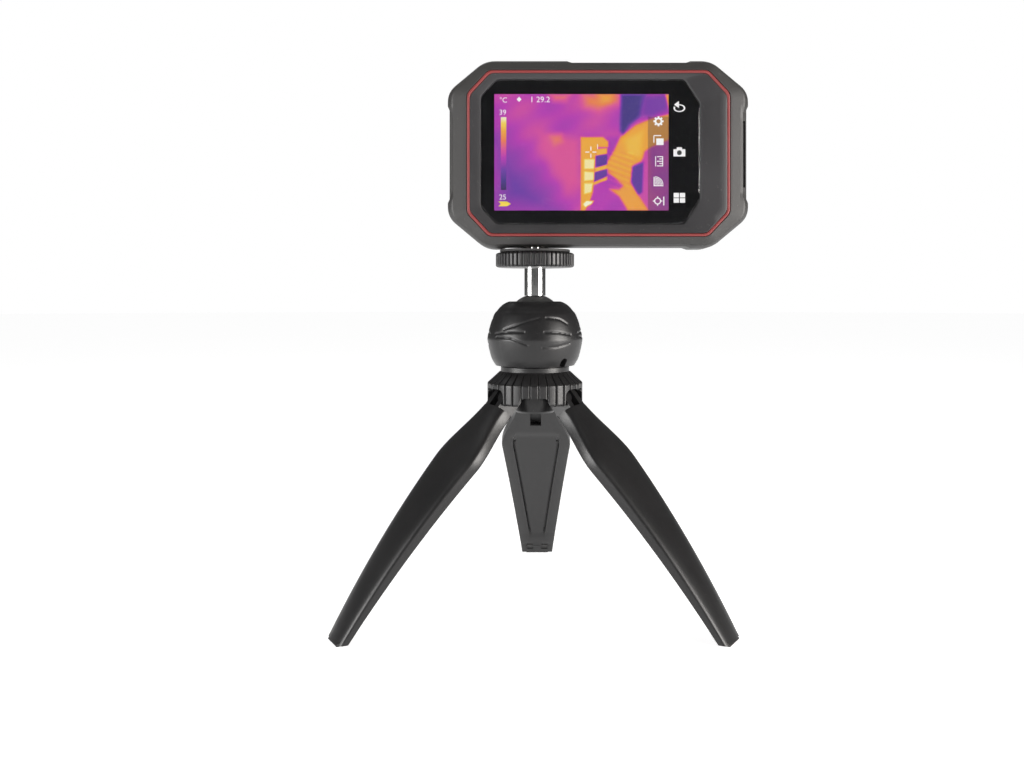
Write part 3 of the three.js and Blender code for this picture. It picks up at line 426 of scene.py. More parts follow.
NEAR_BLACK = (0.0075, 0.0075, 0.008)
SOOT = (0.012, 0.0115, 0.012)
MATERIALS = {
    "armour_rubber": moulded("armour_rubber", (0.019, 0.018, 0.018), (0.027, 0.026, 0.025), 0.5,
                             2600.0, 0.00006, wear=0.25, worn=(0.06, 0.058, 0.056)),
    "housing_plastic": moulded("housing_plastic", (0.015, 0.0145, 0.016), (0.022, 0.021, 0.023),
                               0.46, 3200.0, 0.00004, wear=0.2, worn=(0.05, 0.05, 0.05)),
    "accent_red": moulded("accent_red", (0.15, 0.018, 0.018), (0.19, 0.022, 0.022), 0.55,
                          3000.0, 0.00002, wear=0.15, worn=(0.3, 0.05, 0.045), dust=0.05),
    "cover_glass": clear_glass("cover_glass", 0.015, (0.96, 0.97, 0.98)),
    "display": moulded("display", (0.005, 0.005, 0.006), (0.007, 0.007, 0.008), 0.3, 900.0,
                       0.00001, wear=0.0, dust=0.0, film=0.0, specular=0.15),
    "circuit_board": circuit_board_material(),
    "battery_wrap": moulded("battery_wrap", (0.22, 0.23, 0.25), (0.30, 0.31, 0.33), 0.3, 500.0,
                            0.00003, wear=0.3, worn=(0.5, 0.5, 0.5)),
    "component_black": moulded("component_black", (0.02, 0.02, 0.02), (0.03, 0.03, 0.03), 0.45,
                               1800.0, 0.00003),
    "component_metal": metal("component_metal", (0.55, 0.55, 0.54), (0.66, 0.66, 0.64), 0.32,
                             (900.0, 900.0, 4000.0), 0.00001),
    "lens_black": metal("lens_black", (0.022, 0.022, 0.024), (0.034, 0.034, 0.036), 0.34,
                        (90.0, 6000.0, 90.0), 0.00001, wear=0.12),
    "germanium": metal("germanium", (0.26, 0.24, 0.30), (0.34, 0.30, 0.36), 0.08,
                       (60.0, 60.0, 60.0), 0.000002, wear=0.0),
    "torch_clear": clear_glass("torch_clear", 0.08, (0.94, 0.94, 0.92)),
    "lamp_yellow": moulded("lamp_yellow", (0.72, 0.60, 0.16), (0.80, 0.70, 0.24), 0.35, 2400.0,
                           0.00002, wear=0.0, dust=0.0),
    "polished_steel": metal("polished_steel", (0.66, 0.66, 0.65), (0.74, 0.74, 0.73), 0.11,
                            (70.0, 70.0, 9000.0), 0.000004, wear=0.0),
    "ball_steel": metal("ball_steel", (0.45, 0.45, 0.45), (0.36, 0.36, 0.355), 0.34,
                        (90.0, 90.0, 6000.0), 0.000012),
    "screw_steel": metal("screw_steel", (0.20, 0.20, 0.21), (0.28, 0.28, 0.29), 0.3,
                         (800.0, 6000.0, 800.0), 0.00001, wear=0.4),
    "insert_brass": metal("insert_brass", (0.56, 0.38, 0.14), (0.66, 0.48, 0.20), 0.24,
                          (80.0, 80.0, 5000.0), 0.00002),
    "tripod_plastic": moulded("tripod_plastic", NEAR_BLACK, SOOT, 0.36, 3600.0, 0.000035,
                              wear=0.22, worn=(0.045, 0.045, 0.045), dust=0.12,
                              film=0.006, specular=0.4),
    "pad_rubber": moulded("pad_rubber", (0.014, 0.014, 0.014), (0.022, 0.021, 0.021), 0.68,
                          1500.0, 0.00008, wear=0.1),
    "seat_nylon": moulded("seat_nylon", (0.58, 0.58, 0.55), (0.68, 0.68, 0.65), 0.4, 1600.0,
                          0.00004, wear=0.0),
    "heat_picture": heat_picture_material(),
    "white_ink": lit_ink("white_ink", (1.0, 0.98, 0.97), 1.0),
    "yellow_ink": lit_ink("yellow_ink", (0.95, 0.72, 0.06), 1.0),
    "menu_ink": lit_ink("menu_ink", (0.014, 0.014, 0.014), 1.0),
}


# ---------------------------------------------------------------- making meshes


def mesh_piece(name, points, faces, material, sharp=38, outward=True):
    mesh = bpy.data.meshes.new(name)
    mesh.from_pydata([tuple(point) for point in points], [], faces)
    work = bmesh.new()
    work.from_mesh(mesh)
    bmesh.ops.remove_doubles(work, verts=work.verts, dist=1e-6)
    if outward:
        bmesh.ops.recalc_face_normals(work, faces=work.faces)
    work.to_mesh(mesh)
    work.free()
    piece = bpy.data.objects.new(name, mesh)
    bpy.context.scene.collection.objects.link(piece)
    mesh.materials.append(MATERIALS[material])
    shade(piece, sharp)
    return piece


def shade(piece, sharp=38):
    mesh = piece.data
    mesh.polygons.foreach_set("use_smooth", [True] * len(mesh.polygons))
    mesh.set_sharp_from_angle(angle=math.radians(sharp))


def loft(name, rows, material, closed=True, sharp=38):
    """A skin through rows of points that each close on themselves. With closed, the last row
    joins the first; otherwise both ends are capped."""
    count = len(rows[0])
    points = [point for row in rows for point in row]
    faces = []
    for i in range(len(rows) if closed else len(rows) - 1):
        upper = (i + 1) % len(rows)
        for j in range(count):
            k = (j + 1) % count
            faces.append((i * count + j, i * count + k, upper * count + k, upper * count + j))
    if not closed:
        faces.append(tuple(range(count)))
        faces.append(tuple((len(rows) - 1) * count + j for j in range(count)))
    return mesh_piece(name, points, faces, material, sharp)


def turned(name, profile, centre, material, segments=96, along="z", sharp=38):
    """A turned piece from (radius, distance along the axis) pairs, in millimetres."""
    points = []
    for radius, reach in profile:
        for j in range(segments):
            angle = 2 * math.pi * j / segments
            flat = (radius * math.cos(angle) * MM, radius * math.sin(angle) * MM)
            if along == "z":
                place = Vector((flat[0], flat[1], reach * MM))
            else:
                place = Vector((flat[0], reach * MM, -flat[1]))
            points.append(centre + place)
    faces = []
    for i in range(len(profile)):
        upper = (i + 1) % len(profile)
        if profile[i][0] == 0 and profile[upper][0] == 0:
            continue
        for j in range(segments):
            k = (j + 1) % segments
            low, high = i * segments, upper * segments
            if profile[i][0] == 0:
                faces.append((low + j, high + k, high + j))
            elif profile[upper][0] == 0:
                faces.append((low + j, low + k, high + j))
            else:
                faces.append((low + j, low + k, high + k, high + j))
    return mesh_piece(name, points, faces, material, sharp)


def box_piece(name, low, high, material, turn=None):
    points = [Vector((x, y, z)) for x in (low.x, high.x) for y in (low.y, high.y)
              for z in (low.z, high.z)]
    if turn is not None:
        points = [turn @ point for point in points]
    faces = [(0, 1, 3, 2), (4, 6, 7, 5), (0, 4, 5, 1), (2, 3, 7, 6), (0, 2, 6, 4), (1, 5, 7, 3)]
    return mesh_piece(name, points, faces, material)


def evaluated(piece):
    """The piece with its modifiers made real."""
    graph = bpy.context.evaluated_depsgraph_get()
    made = bpy.data.meshes.new_from_object(piece.evaluated_get(graph), depsgraph=graph)
    piece.modifiers.clear()
    old = piece.data
    piece.data = made
    made.name = piece.name
    bpy.data.meshes.remove(old)
    return piece


def discard(pieces):
    for piece in pieces:
        mesh = piece.data
        bpy.data.objects.remove(piece)
        bpy.data.meshes.remove(mesh)


def joined(pieces):
    """Several pieces as one, under the first one's name."""
    first = pieces[0]
    work = bmesh.new()
    for piece in pieces:
        work.from_mesh(piece.data)
    work.to_mesh(first.data)
    work.free()
    discard(pieces[1:])
    shade(first)
    return first


def carved(piece, cutters, sharp=38):
    """The piece with the cutters' shapes taken away."""
    cutter = joined(cutters)
    modifier = piece.modifiers.new("carve", "BOOLEAN")
    modifier.operation = "DIFFERENCE"
    modifier.object = cutter
    modifier.solver = "EXACT"
    evaluated(piece)
    discard([cutter])
    shade(piece, sharp)
    return piece


def bevelled(piece, width, segments=3, angle=32):
    modifier = piece.modifiers.new("edges", "BEVEL")
    modifier.width = width * MM
    modifier.segments = segments
    modifier.limit_method = "ANGLE"
    modifier.angle_limit = math.radians(angle)
    modifier.harden_normals = False
    evaluated(piece)
    shade(piece, 50)
    return piece


def even_shading(piece):
    """Normals weighted by face size, so that broad flats stay flat beside rounded edges."""
    modifier = piece.modifiers.new("even", "WEIGHTED_NORMAL")
    modifier.keep_sharp = True
    return evaluated(piece)


def softened(node, name, width, material, segments=2):
    """A merged copy of a CAD node with its edges rounded."""
    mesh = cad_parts[node].data.copy()
    work = bmesh.new()
    work.from_mesh(mesh)
    bmesh.ops.remove_doubles(work, verts=work.verts, dist=2e-6)
    bmesh.ops.dissolve_limit(work, angle_limit=math.radians(1.0), verts=work.verts,
                             edges=work.edges)
    work.to_mesh(mesh)
    work.free()
    for attribute in [a.name for a in mesh.attributes if a.name == "custom_normal"]:
        mesh.attributes.remove(mesh.attributes[attribute])
    piece = bpy.data.objects.new(name, mesh)
    bpy.context.scene.collection.objects.link(piece)
    mesh.name = name
    mesh.materials.clear()
    mesh.materials.append(MATERIALS[material])
    return even_shading(bevelled(piece, width, segments))


def hand_over(piece, body, slot, *nodes):
    """The finished piece rides its body, and stands for the CAD nodes it replaces."""
    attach(piece, body)
    if nodes:
        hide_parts(*nodes)
    return piece


# ---------------------------------------------------------------- geometry node trees


def flute_tree(name, first, second, along):
    """Panels round an axis, parted by rounded grooves pressed into a turned surface."""
    tree, given, out = new_group(name, "GeometryNodeTree", [
        ("Geometry", "NodeSocketGeometry", None),
        ("Centre", "NodeSocketVector", None),
        ("Count", "NodeSocketInt", 32),
        ("Depth", "NodeSocketFloat", 0.0005),
        ("Groove Share", "NodeSocketFloat", 0.3),
        ("Low", "NodeSocketFloat", 0.0),
        ("High", "NodeSocketFloat", 1.0),
        ("Inner Radius", "NodeSocketFloat", 0.01),
        ("Material", "NodeSocketMaterial", None),
    ], [("Geometry", "NodeSocketGeometry")])
    links = tree.links
    position = tree.nodes.new("GeometryNodeInputPosition")
    away = tree.nodes.new("ShaderNodeVectorMath")
    away.operation = "SUBTRACT"
    links.new(position.outputs[0], away.inputs[0])
    links.new(given.outputs["Centre"], away.inputs[1])
    parts = tree.nodes.new("ShaderNodeSeparateXYZ")
    links.new(away.outputs[0], parts.inputs[0])
    angle = math_node(tree, "ARCTAN2", parts.outputs[second], parts.outputs[first])
    turns = math_node(tree, "DIVIDE", angle, 2 * math.pi)
    phase = math_node(tree, "MULTIPLY", turns, given.outputs["Count"])
    cycle = math_node(tree, "FRACT", phase)
    twice = math_node(tree, "MULTIPLY", cycle, 2.0)
    folded = math_node(tree, "ABSOLUTE", math_node(tree, "SUBTRACT", twice, 1.0))
    edge = math_node(tree, "SUBTRACT", 1.0, given.outputs["Groove Share"])
    over = math_node(tree, "SUBTRACT", folded, edge)
    share = math_node(tree, "DIVIDE", over, given.outputs["Groove Share"], limit=True)
    rounded = math_node(tree, "MULTIPLY", share, share)
    flat = tree.nodes.new("ShaderNodeCombineXYZ")
    links.new(parts.outputs[first], flat.inputs[first])
    links.new(parts.outputs[second], flat.inputs[second])
    length = tree.nodes.new("ShaderNodeVectorMath")
    length.operation = "LENGTH"
    links.new(flat.outputs[0], length.inputs[0])
    unit = tree.nodes.new("ShaderNodeVectorMath")
    unit.operation = "NORMALIZE"
    links.new(flat.outputs[0], unit.inputs[0])
    split = tree.nodes.new("ShaderNodeSeparateXYZ")
    links.new(position.outputs[0], split.inputs[0])
    above = math_node(tree, "GREATER_THAN", split.outputs[along], given.outputs["Low"])
    below = math_node(tree, "LESS_THAN", split.outputs[along], given.outputs["High"])
    outer = math_node(tree, "GREATER_THAN", length.outputs["Value"],
                      given.outputs["Inner Radius"])
    chosen = math_node(tree, "MULTIPLY", math_node(tree, "MULTIPLY", above, below), outer)
    pressed = math_node(tree, "MULTIPLY", chosen, given.outputs["Depth"])
    amount = math_node(tree, "MULTIPLY", rounded, pressed)
    inward = tree.nodes.new("ShaderNodeVectorMath")
    inward.operation = "SCALE"
    links.new(unit.outputs[0], inward.inputs[0])
    links.new(math_node(tree, "MULTIPLY", amount, -1.0), inward.inputs["Scale"])
    moved = tree.nodes.new("GeometryNodeSetPosition")
    links.new(given.outputs["Geometry"], moved.inputs["Geometry"])
    links.new(inward.outputs[0], moved.inputs["Offset"])
    finish_tree(tree, given, out, moved.outputs["Geometry"])
    return tree


def finish_tree(tree, given, out, geometry):
    real = tree.nodes.new("GeometryNodeRealizeInstances")
    tree.links.new(geometry, real.inputs[0])
    dressed = tree.nodes.new("GeometryNodeSetMaterial")
    tree.links.new(real.outputs[0], dressed.inputs["Geometry"])
    tree.links.new(given.outputs["Material"], dressed.inputs["Material"])
    tree.links.new(dressed.outputs[0], out.inputs["Geometry"])


def pin_field_tree():
    """A field of upright pins on a grid, used for a row of perforations."""
    tree, given, out = new_group("pin_field", "GeometryNodeTree", [
        ("Geometry", "NodeSocketGeometry", None),
        ("Columns", "NodeSocketInt", 6),
        ("Rows", "NodeSocketInt", 3),
        ("Pitch", "NodeSocketFloat", 0.002),
        ("Radius", "NodeSocketFloat", 0.0005),
        ("Length", "NodeSocketFloat", 0.003),
        ("Centre", "NodeSocketVector", None),
        ("Material", "NodeSocketMaterial", None),
    ], [("Geometry", "NodeSocketGeometry")])
    links = tree.links
    grid = tree.nodes.new("GeometryNodeMeshGrid")
    for label, count in (("Size X", "Columns"), ("Size Y", "Rows")):
        gaps = math_node(tree, "SUBTRACT", given.outputs[count], 1.0)
        links.new(math_node(tree, "MULTIPLY", gaps, given.outputs["Pitch"]), grid.inputs[label])
    links.new(given.outputs["Columns"], grid.inputs["Vertices X"])
    links.new(given.outputs["Rows"], grid.inputs["Vertices Y"])
    pin = tree.nodes.new("GeometryNodeMeshCylinder")
    pin.inputs["Vertices"].default_value = 12
    links.new(given.outputs["Radius"], pin.inputs["Radius"])
    links.new(given.outputs["Length"], pin.inputs["Depth"])
    copies = tree.nodes.new("GeometryNodeInstanceOnPoints")
    links.new(grid.outputs["Mesh"], copies.inputs["Points"])
    links.new(pin.outputs["Mesh"], copies.inputs["Instance"])
    stood = tree.nodes.new("GeometryNodeTransform")
    stood.inputs["Rotation"].default_value = (math.pi / 2, 0.0, 0.0)
    links.new(copies.outputs[0], stood.inputs["Geometry"])
    links.new(given.outputs["Centre"], stood.inputs["Translation"])
    finish_tree(tree, given, out, stood.outputs[0])
    return tree


FLUTES = flute_tree("flutes_round_z", "X", "Y", "Z")
RIBS_Y = flute_tree("ribs_round_y", "X", "Z", "Y")
PIN_FIELD = pin_field_tree()


def grown(piece, tree, **values):
    """The piece run through a geometry tree, with the tree's inputs set by name."""
    modifier = piece.modifiers.new("grow", "NODES")
    modifier.node_group = tree
    keys = {item.name: item.identifier for item in tree.interface.items_tree
            if item.item_type == "SOCKET" and item.in_out == "INPUT"}
    for label, value in values.items():
        modifier[keys[label.replace("_", " ")]] = value
    return evaluated(piece)


# ---------------------------------------------------------------- outlines of the case

ARC_STEPS = 6
EDGE_STEPS = (3, 26, 3, 40, 3, 26, 3, 40)


def cut_outline(width, height, cut_x, cuts_z, rounding, shift=(0.0, 0.0)):
    """An eight-sided outline with rounded corners, always with the same count of points.
    cuts_z holds how far the left and the right corner cuts run down the sides."""
    half_w, half_h = width / 2, height / 2
    left, right = cuts_z
    corners = [Vector(corner) for corner in (
        (half_w - cut_x, -half_h), (half_w, -half_h + right), (half_w, half_h - right),
        (half_w - cut_x, half_h), (-half_w + cut_x, half_h), (-half_w, half_h - left),
        (-half_w, -half_h + left), (-half_w + cut_x, -half_h),
    )]
    arcs = []
    for i, corner in enumerate(corners):
        before, after = corners[i - 1], corners[(i + 1) % 8]
        start = corner + (before - corner).normalized() * rounding
        end = corner + (after - corner).normalized() * rounding
        arc = []
        for step in range(ARC_STEPS + 1):
            share = step / ARC_STEPS
            arc.append(start.lerp(corner, share).lerp(corner.lerp(end, share), share))
        arcs.append(arc)
    points = []
    for i, arc in enumerate(arcs):
        points.extend(arc)
        following = arcs[(i + 1) % 8][0]
        for step in range(1, EDGE_STEPS[i]):
            points.append(arc[-1].lerp(following, step / EDGE_STEPS[i]))
    return [point + Vector(shift) for point in points]


def case_outline(inset):
    shrink = inset * CUT_SHARE
    cut_z = CASE_CUT_Z - shrink
    return cut_outline(CASE_WIDTH - 2 * inset, CASE_HEIGHT - 2 * inset, CASE_CUT_X - shrink,
                       (cut_z, cut_z), max(0.6, 4.6 - 0.25 * inset))


def strip_outline(margin):
    grow = margin * CUT_SHARE
    cut_z = STRIP_CUT_Z + grow
    return cut_outline(CASE_WIDTH - 2 * STRIP_INSET_X + 2 * margin,
                       CASE_HEIGHT - 2 * STRIP_INSET_Z + 2 * margin,
                       STRIP_CUT_X + grow, (cut_z, cut_z), 1.9)


def glass_outline(margin):
    grow = margin * CUT_SHARE
    return cut_outline(GLASS_WIDTH + 2 * margin, GLASS_HEIGHT + 2 * margin, 7.2 + grow,
                       (7.6 + grow, 11.0 + grow), 1.9, (GLASS_SHIFT_X, GLASS_SHIFT_Z))


def between(first, second, share):
    return [a.lerp(b, share) for a, b in zip(first, second)]


def at_depth(outline, depth):
    return [case_point(point.x, depth, point.y) for point in outline]


# ---------------------------------------------------------------- camera case

SIDE_RECESS = 19.5
SIDE_RAMP = 2.5
TOP_RECESS = (-14.0, 42.0)
BOTTOM_RECESS = (-45.0, 42.0)
LEFT_STEP = 0.70
RIGHT_STEP = 0.52
EDGE_STEP = 0.68


def recess_at(point, share):
    """How far a point of the armour lies in a recess, from 0 to 1. The share runs from the
    red strip, 0, to the case's edge, 1."""
    half_w, half_h = CASE_WIDTH / 2, CASE_HEIGHT / 2
    if abs(point.x) > half_w - STRIP_INSET_X and abs(point.y) < half_h - CASE_CUT_Z:
        step = RIGHT_STEP if point.x > 0 else LEFT_STEP
        if share <= step:
            return 0.0
        limit = SIDE_RECESS + SIDE_RAMP * (share - step) / (1 - step)
        return clamp((limit - abs(point.y)) / (0.4 * SIDE_RAMP))
    if abs(point.y) > half_h - STRIP_INSET_Z - 1 and share > EDGE_STEP:
        low, high = TOP_RECESS if point.y > 0 else BOTTOM_RECESS
        return clamp(min(point.x - low, high - point.x) / (0.5 * SIDE_RAMP))
    return 0.0


def armour_row(share, depth):
    """One row round the armour's outside, sunk where the sides and edges are recessed."""
    outline = between(strip_outline(STRIP_BAND / 2 + 0.12), case_outline(0.0), share)
    row = []
    for point in outline:
        sunk = recess_at(point, share)
        inward = PAD_HEIGHT * sunk * smooth(share, 0.6, 0.82)
        side = abs(point.x) > CASE_WIDTH / 2 - STRIP_INSET_X and abs(point.y) < CASE_HEIGHT / 2 - 8
        x = point.x - math.copysign(inward, point.x) if side else point.x
        z = point.y if side else point.y - math.copysign(inward, point.y)
        row.append(case_point(x, depth + 0.9 * sunk * (1 - smooth(share, 0.8, 1.0)), z))
    return row


def rear_row(inset, depth):
    """A row round the armour's back edge, which keeps the recesses of its sides."""
    row = []
    for edge, point in zip(case_outline(0.0), case_outline(inset)):
        inward = PAD_HEIGHT * recess_at(edge, 1.0) * (1 - smooth(inset, 0.0, 5.0))
        if abs(edge.x) > CASE_WIDTH / 2 - 1 and abs(edge.y) < CASE_HEIGHT / 2 - 8:
            row.append(case_point(point.x - math.copysign(inward, point.x), depth, point.y))
        else:
            row.append(case_point(point.x, depth, point.y - math.copysign(inward, point.y)))
    return row


def make_armour():
    rear = CASE_DEPTH
    rows = [armour_row(0.0, ARMOUR_FRONT), armour_row(0.0, 0.3), armour_row(0.012, 0.1)]
    for share in (0.03, 0.2, 0.4, RIGHT_STEP - 0.015, RIGHT_STEP + 0.015, LEFT_STEP - 0.02,
                  LEFT_STEP + 0.02, 0.78, 0.85, 0.9, 0.94, 0.97, 0.99):
        slope = 2.1 * share
        rows.append(armour_row(share, slope + 3.2 * max(0.0, share - 0.74) ** 1.4 / 0.26 ** 1.4))
    rows.append(armour_row(1.0, 6.6))
    rows.append(armour_row(1.0, rear / 2))
    rows.append(armour_row(1.0, rear - 5.4))
    for inset, depth in ((0.3, 3.6), (1.1, 2.2), (2.8, 0.9), (5.0, 0.2), (6.5, 0.0), (6.8, 0.3),
                         (6.8, ARMOUR_FRONT), (ARMOUR_WALL + 0.3, ARMOUR_FRONT)):
        rows.append(rear_row(inset, rear - depth))
    rows.append(at_depth(case_outline(ARMOUR_WALL), rear - ARMOUR_FRONT - 1))
    rows.append(at_depth(case_outline(ARMOUR_WALL), ARMOUR_FRONT + 1))
    armour = loft("armour_shell", rows, "armour_rubber", sharp=30)
    cutters = []
    for button in ("capture_button", "power_button"):
        low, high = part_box(button)
        gap = Vector((0.35 * MM, 0.35 * MM, 0))
        cutters.append(box_piece("button_well", low - gap, high + gap + Vector((0, 0, 4 * MM)),
                                 "armour_rubber"))
    low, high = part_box("port_flap")
    gap = Vector((0.0, 0.35 * MM, 0.35 * MM))
    cutters.append(box_piece("flap_well", low - gap, high + gap + Vector((4 * MM, 0, 0)),
                             "armour_rubber"))
    insert = middle_of("threaded_insert")
    cutters.append(turned("insert_well", [(0, -9), (6, -9), (6, 9), (0, 9)],
                          Vector((insert.x, insert.y, case_low.z)), "armour_rubber", 32))
    slot_low = case_point(66.2, 2.0, -15.2)
    slot_high = case_point(67.4, 6.0, 15.2)
    cutters.append(box_piece("finger_slot", slot_low, slot_high, "armour_rubber"))
    carved(armour, cutters, 30)
    even_shading(armour)
    return hand_over(armour, "camera", "armour_rubber", "armour_frame")


def make_bezel():
    outer = strip_outline(-STRIP_BAND / 2 - 0.12)
    inner = glass_outline(0.35)
    step = glass_outline(-2.6)
    back = 8.6
    rows = [at_depth(outer, back), at_depth(outer, 0.3)]
    for share, depth in ((0.03, 0.12), (0.3, 0.26), (0.62, 0.48), (0.9, 0.68), (0.965, 0.78)):
        rows.append(at_depth(between(outer, inner, share), depth))
    ledge = GLASS_BACK + 0.1
    rows += [at_depth(inner, 1.0), at_depth(inner, ledge), at_depth(step, ledge)]
    rows += [at_depth(step, 5.2), at_depth(step, back)]
    bezel = loft("bezel", rows, "housing_plastic", sharp=30)
    return hand_over(bezel, "camera", "housing_plastic", "front_bezel")


def make_strip():
    half = STRIP_BAND / 2
    rows = [at_depth(strip_outline(offset), depth) for offset, depth in (
        (half, 1.8), (half, 0.4), (half - 0.2, 0.14), (0.0, 0.03), (-half + 0.2, 0.14),
        (-half, 0.4), (-half, 1.8))]
    strip = loft("red_strip", rows, "accent_red", sharp=60)
    return hand_over(strip, "camera", "accent_red", "accent_strip")


def make_glass():
    rows = [at_depth(glass_outline(margin), depth) for margin, depth in (
        (-0.05, GLASS_BACK), (0.0, GLASS_BACK - 0.1), (0.0, GLASS_DEPTH + 0.3),
        (-0.1, GLASS_DEPTH + 0.08), (-0.35, GLASS_DEPTH))]
    glass = loft("window_glass", rows, "cover_glass", closed=False, sharp=10)
    return hand_over(glass, "camera", "cover_glass", "cover_glass")


def make_buttons():
    for name in ("capture_button", "power_button"):
        cap = softened(name, name + "_cap", 0.16, "armour_rubber", 2)
        hand_over(cap, name, "armour_rubber", name)


def make_flap():
    flap = softened("port_flap", "port_door", 0.4, "armour_rubber", 3)
    return hand_over(flap, "port_flap", "armour_rubber", "port_flap")


def make_rear():
    rear = softened("rear_housing", "rear_shell", 0.3, "housing_plastic")
    speaker = middle_of("speaker")
    centre = Vector((speaker.x, case_low.y + 23.8 * MM, speaker.z))
    for shift in (0.0, 1.1):
        pins = mesh_piece("sound_holes", [], [], "housing_plastic")
        size = 5 if shift == 0 else 4
        grown(pins, PIN_FIELD, Columns=size, Rows=size, Pitch=2.2 * MM, Radius=0.5 * MM,
              Length=2.4 * MM, Centre=centre, Material=MATERIALS["housing_plastic"])
        carved(rear, [pins], 50)
    even_shading(rear)
    return hand_over(rear, "camera", "housing_plastic", "rear_housing")


def make_optics():
    lens = middle_of("lens_barrel")
    centre = Vector((lens.x, case_low.y, lens.z))
    barrel = turned("lens_ring", [
        (8.3, 17.8), (10.9, 17.8), (11.0, 18.0), (11.0, 24.0), (10.85, 24.2), (10.85, 24.7),
        (10.5, 25.1), (10.2, 25.2), (9.7, 25.2), (9.5, 25.0), (9.35, 24.5), (9.1, 24.4),
        (9.05, 24.0), (8.85, 23.9), (8.8, 23.5), (8.6, 23.4), (8.55, 23.0), (8.3, 22.9),
    ], centre, "lens_black", 192, "y")
    grown(barrel, RIBS_Y, Centre=centre, Count=60, Depth=0.3 * MM, Low=case_low.y + 20 * MM,
          High=case_low.y + 24.1 * MM, Inner_Radius=10.6 * MM, Material=MATERIALS["lens_black"])
    shade(barrel, 30)
    hand_over(barrel, "camera", "lens_black", "lens_barrel")
    glass = turned("infrared_lens", [
        (0, 19.0), (7.9, 19.0), (8.0, 19.2), (8.0, 21.0), (7.2, 21.35), (6, 21.72), (5, 21.97),
        (4, 22.14), (3, 22.27), (2, 22.35), (1, 22.39), (0, 22.4),
    ], centre, "germanium", 96, "y")
    hand_over(glass, "camera", "germanium", "germanium_lens")
    window = middle_of("camera_window")
    pane = turned("small_window", [(0, 21.8), (3.85, 21.8), (4, 21.95), (4, 23.25), (3.85, 23.4),
                                   (0, 23.4)],
                  Vector((window.x, case_low.y, window.z)), "cover_glass", 64, "y")
    hand_over(pane, "camera", "cover_glass", "camera_window")
    lamp = middle_of("torch_lens")
    ripples = [(0, 21.8), (3.1, 21.8), (3.2, 21.95), (3.2, 23.2), (3.0, 23.4)]
    for step in range(5):
        radius = 2.8 - 0.55 * step
        ripples += [(radius, 23.4), (radius - 0.25, 23.18)]
    ripples.append((0, 23.3))
    lens = turned("torch_window", ripples, Vector((lamp.x, case_low.y, lamp.z)), "torch_clear",
                  64, "y", 20)
    hand_over(lens, "camera", "torch_clear", "torch_lens")


def make_screws():
    for i in range(1, 5):
        screw = softened("case_screw_%d" % i, "housing_screw_%d" % i, 0.15, "screw_steel")
        hand_over(screw, "camera", "screw_steel", "case_screw_%d" % i)


# ---------------------------------------------------------------- the lit screen

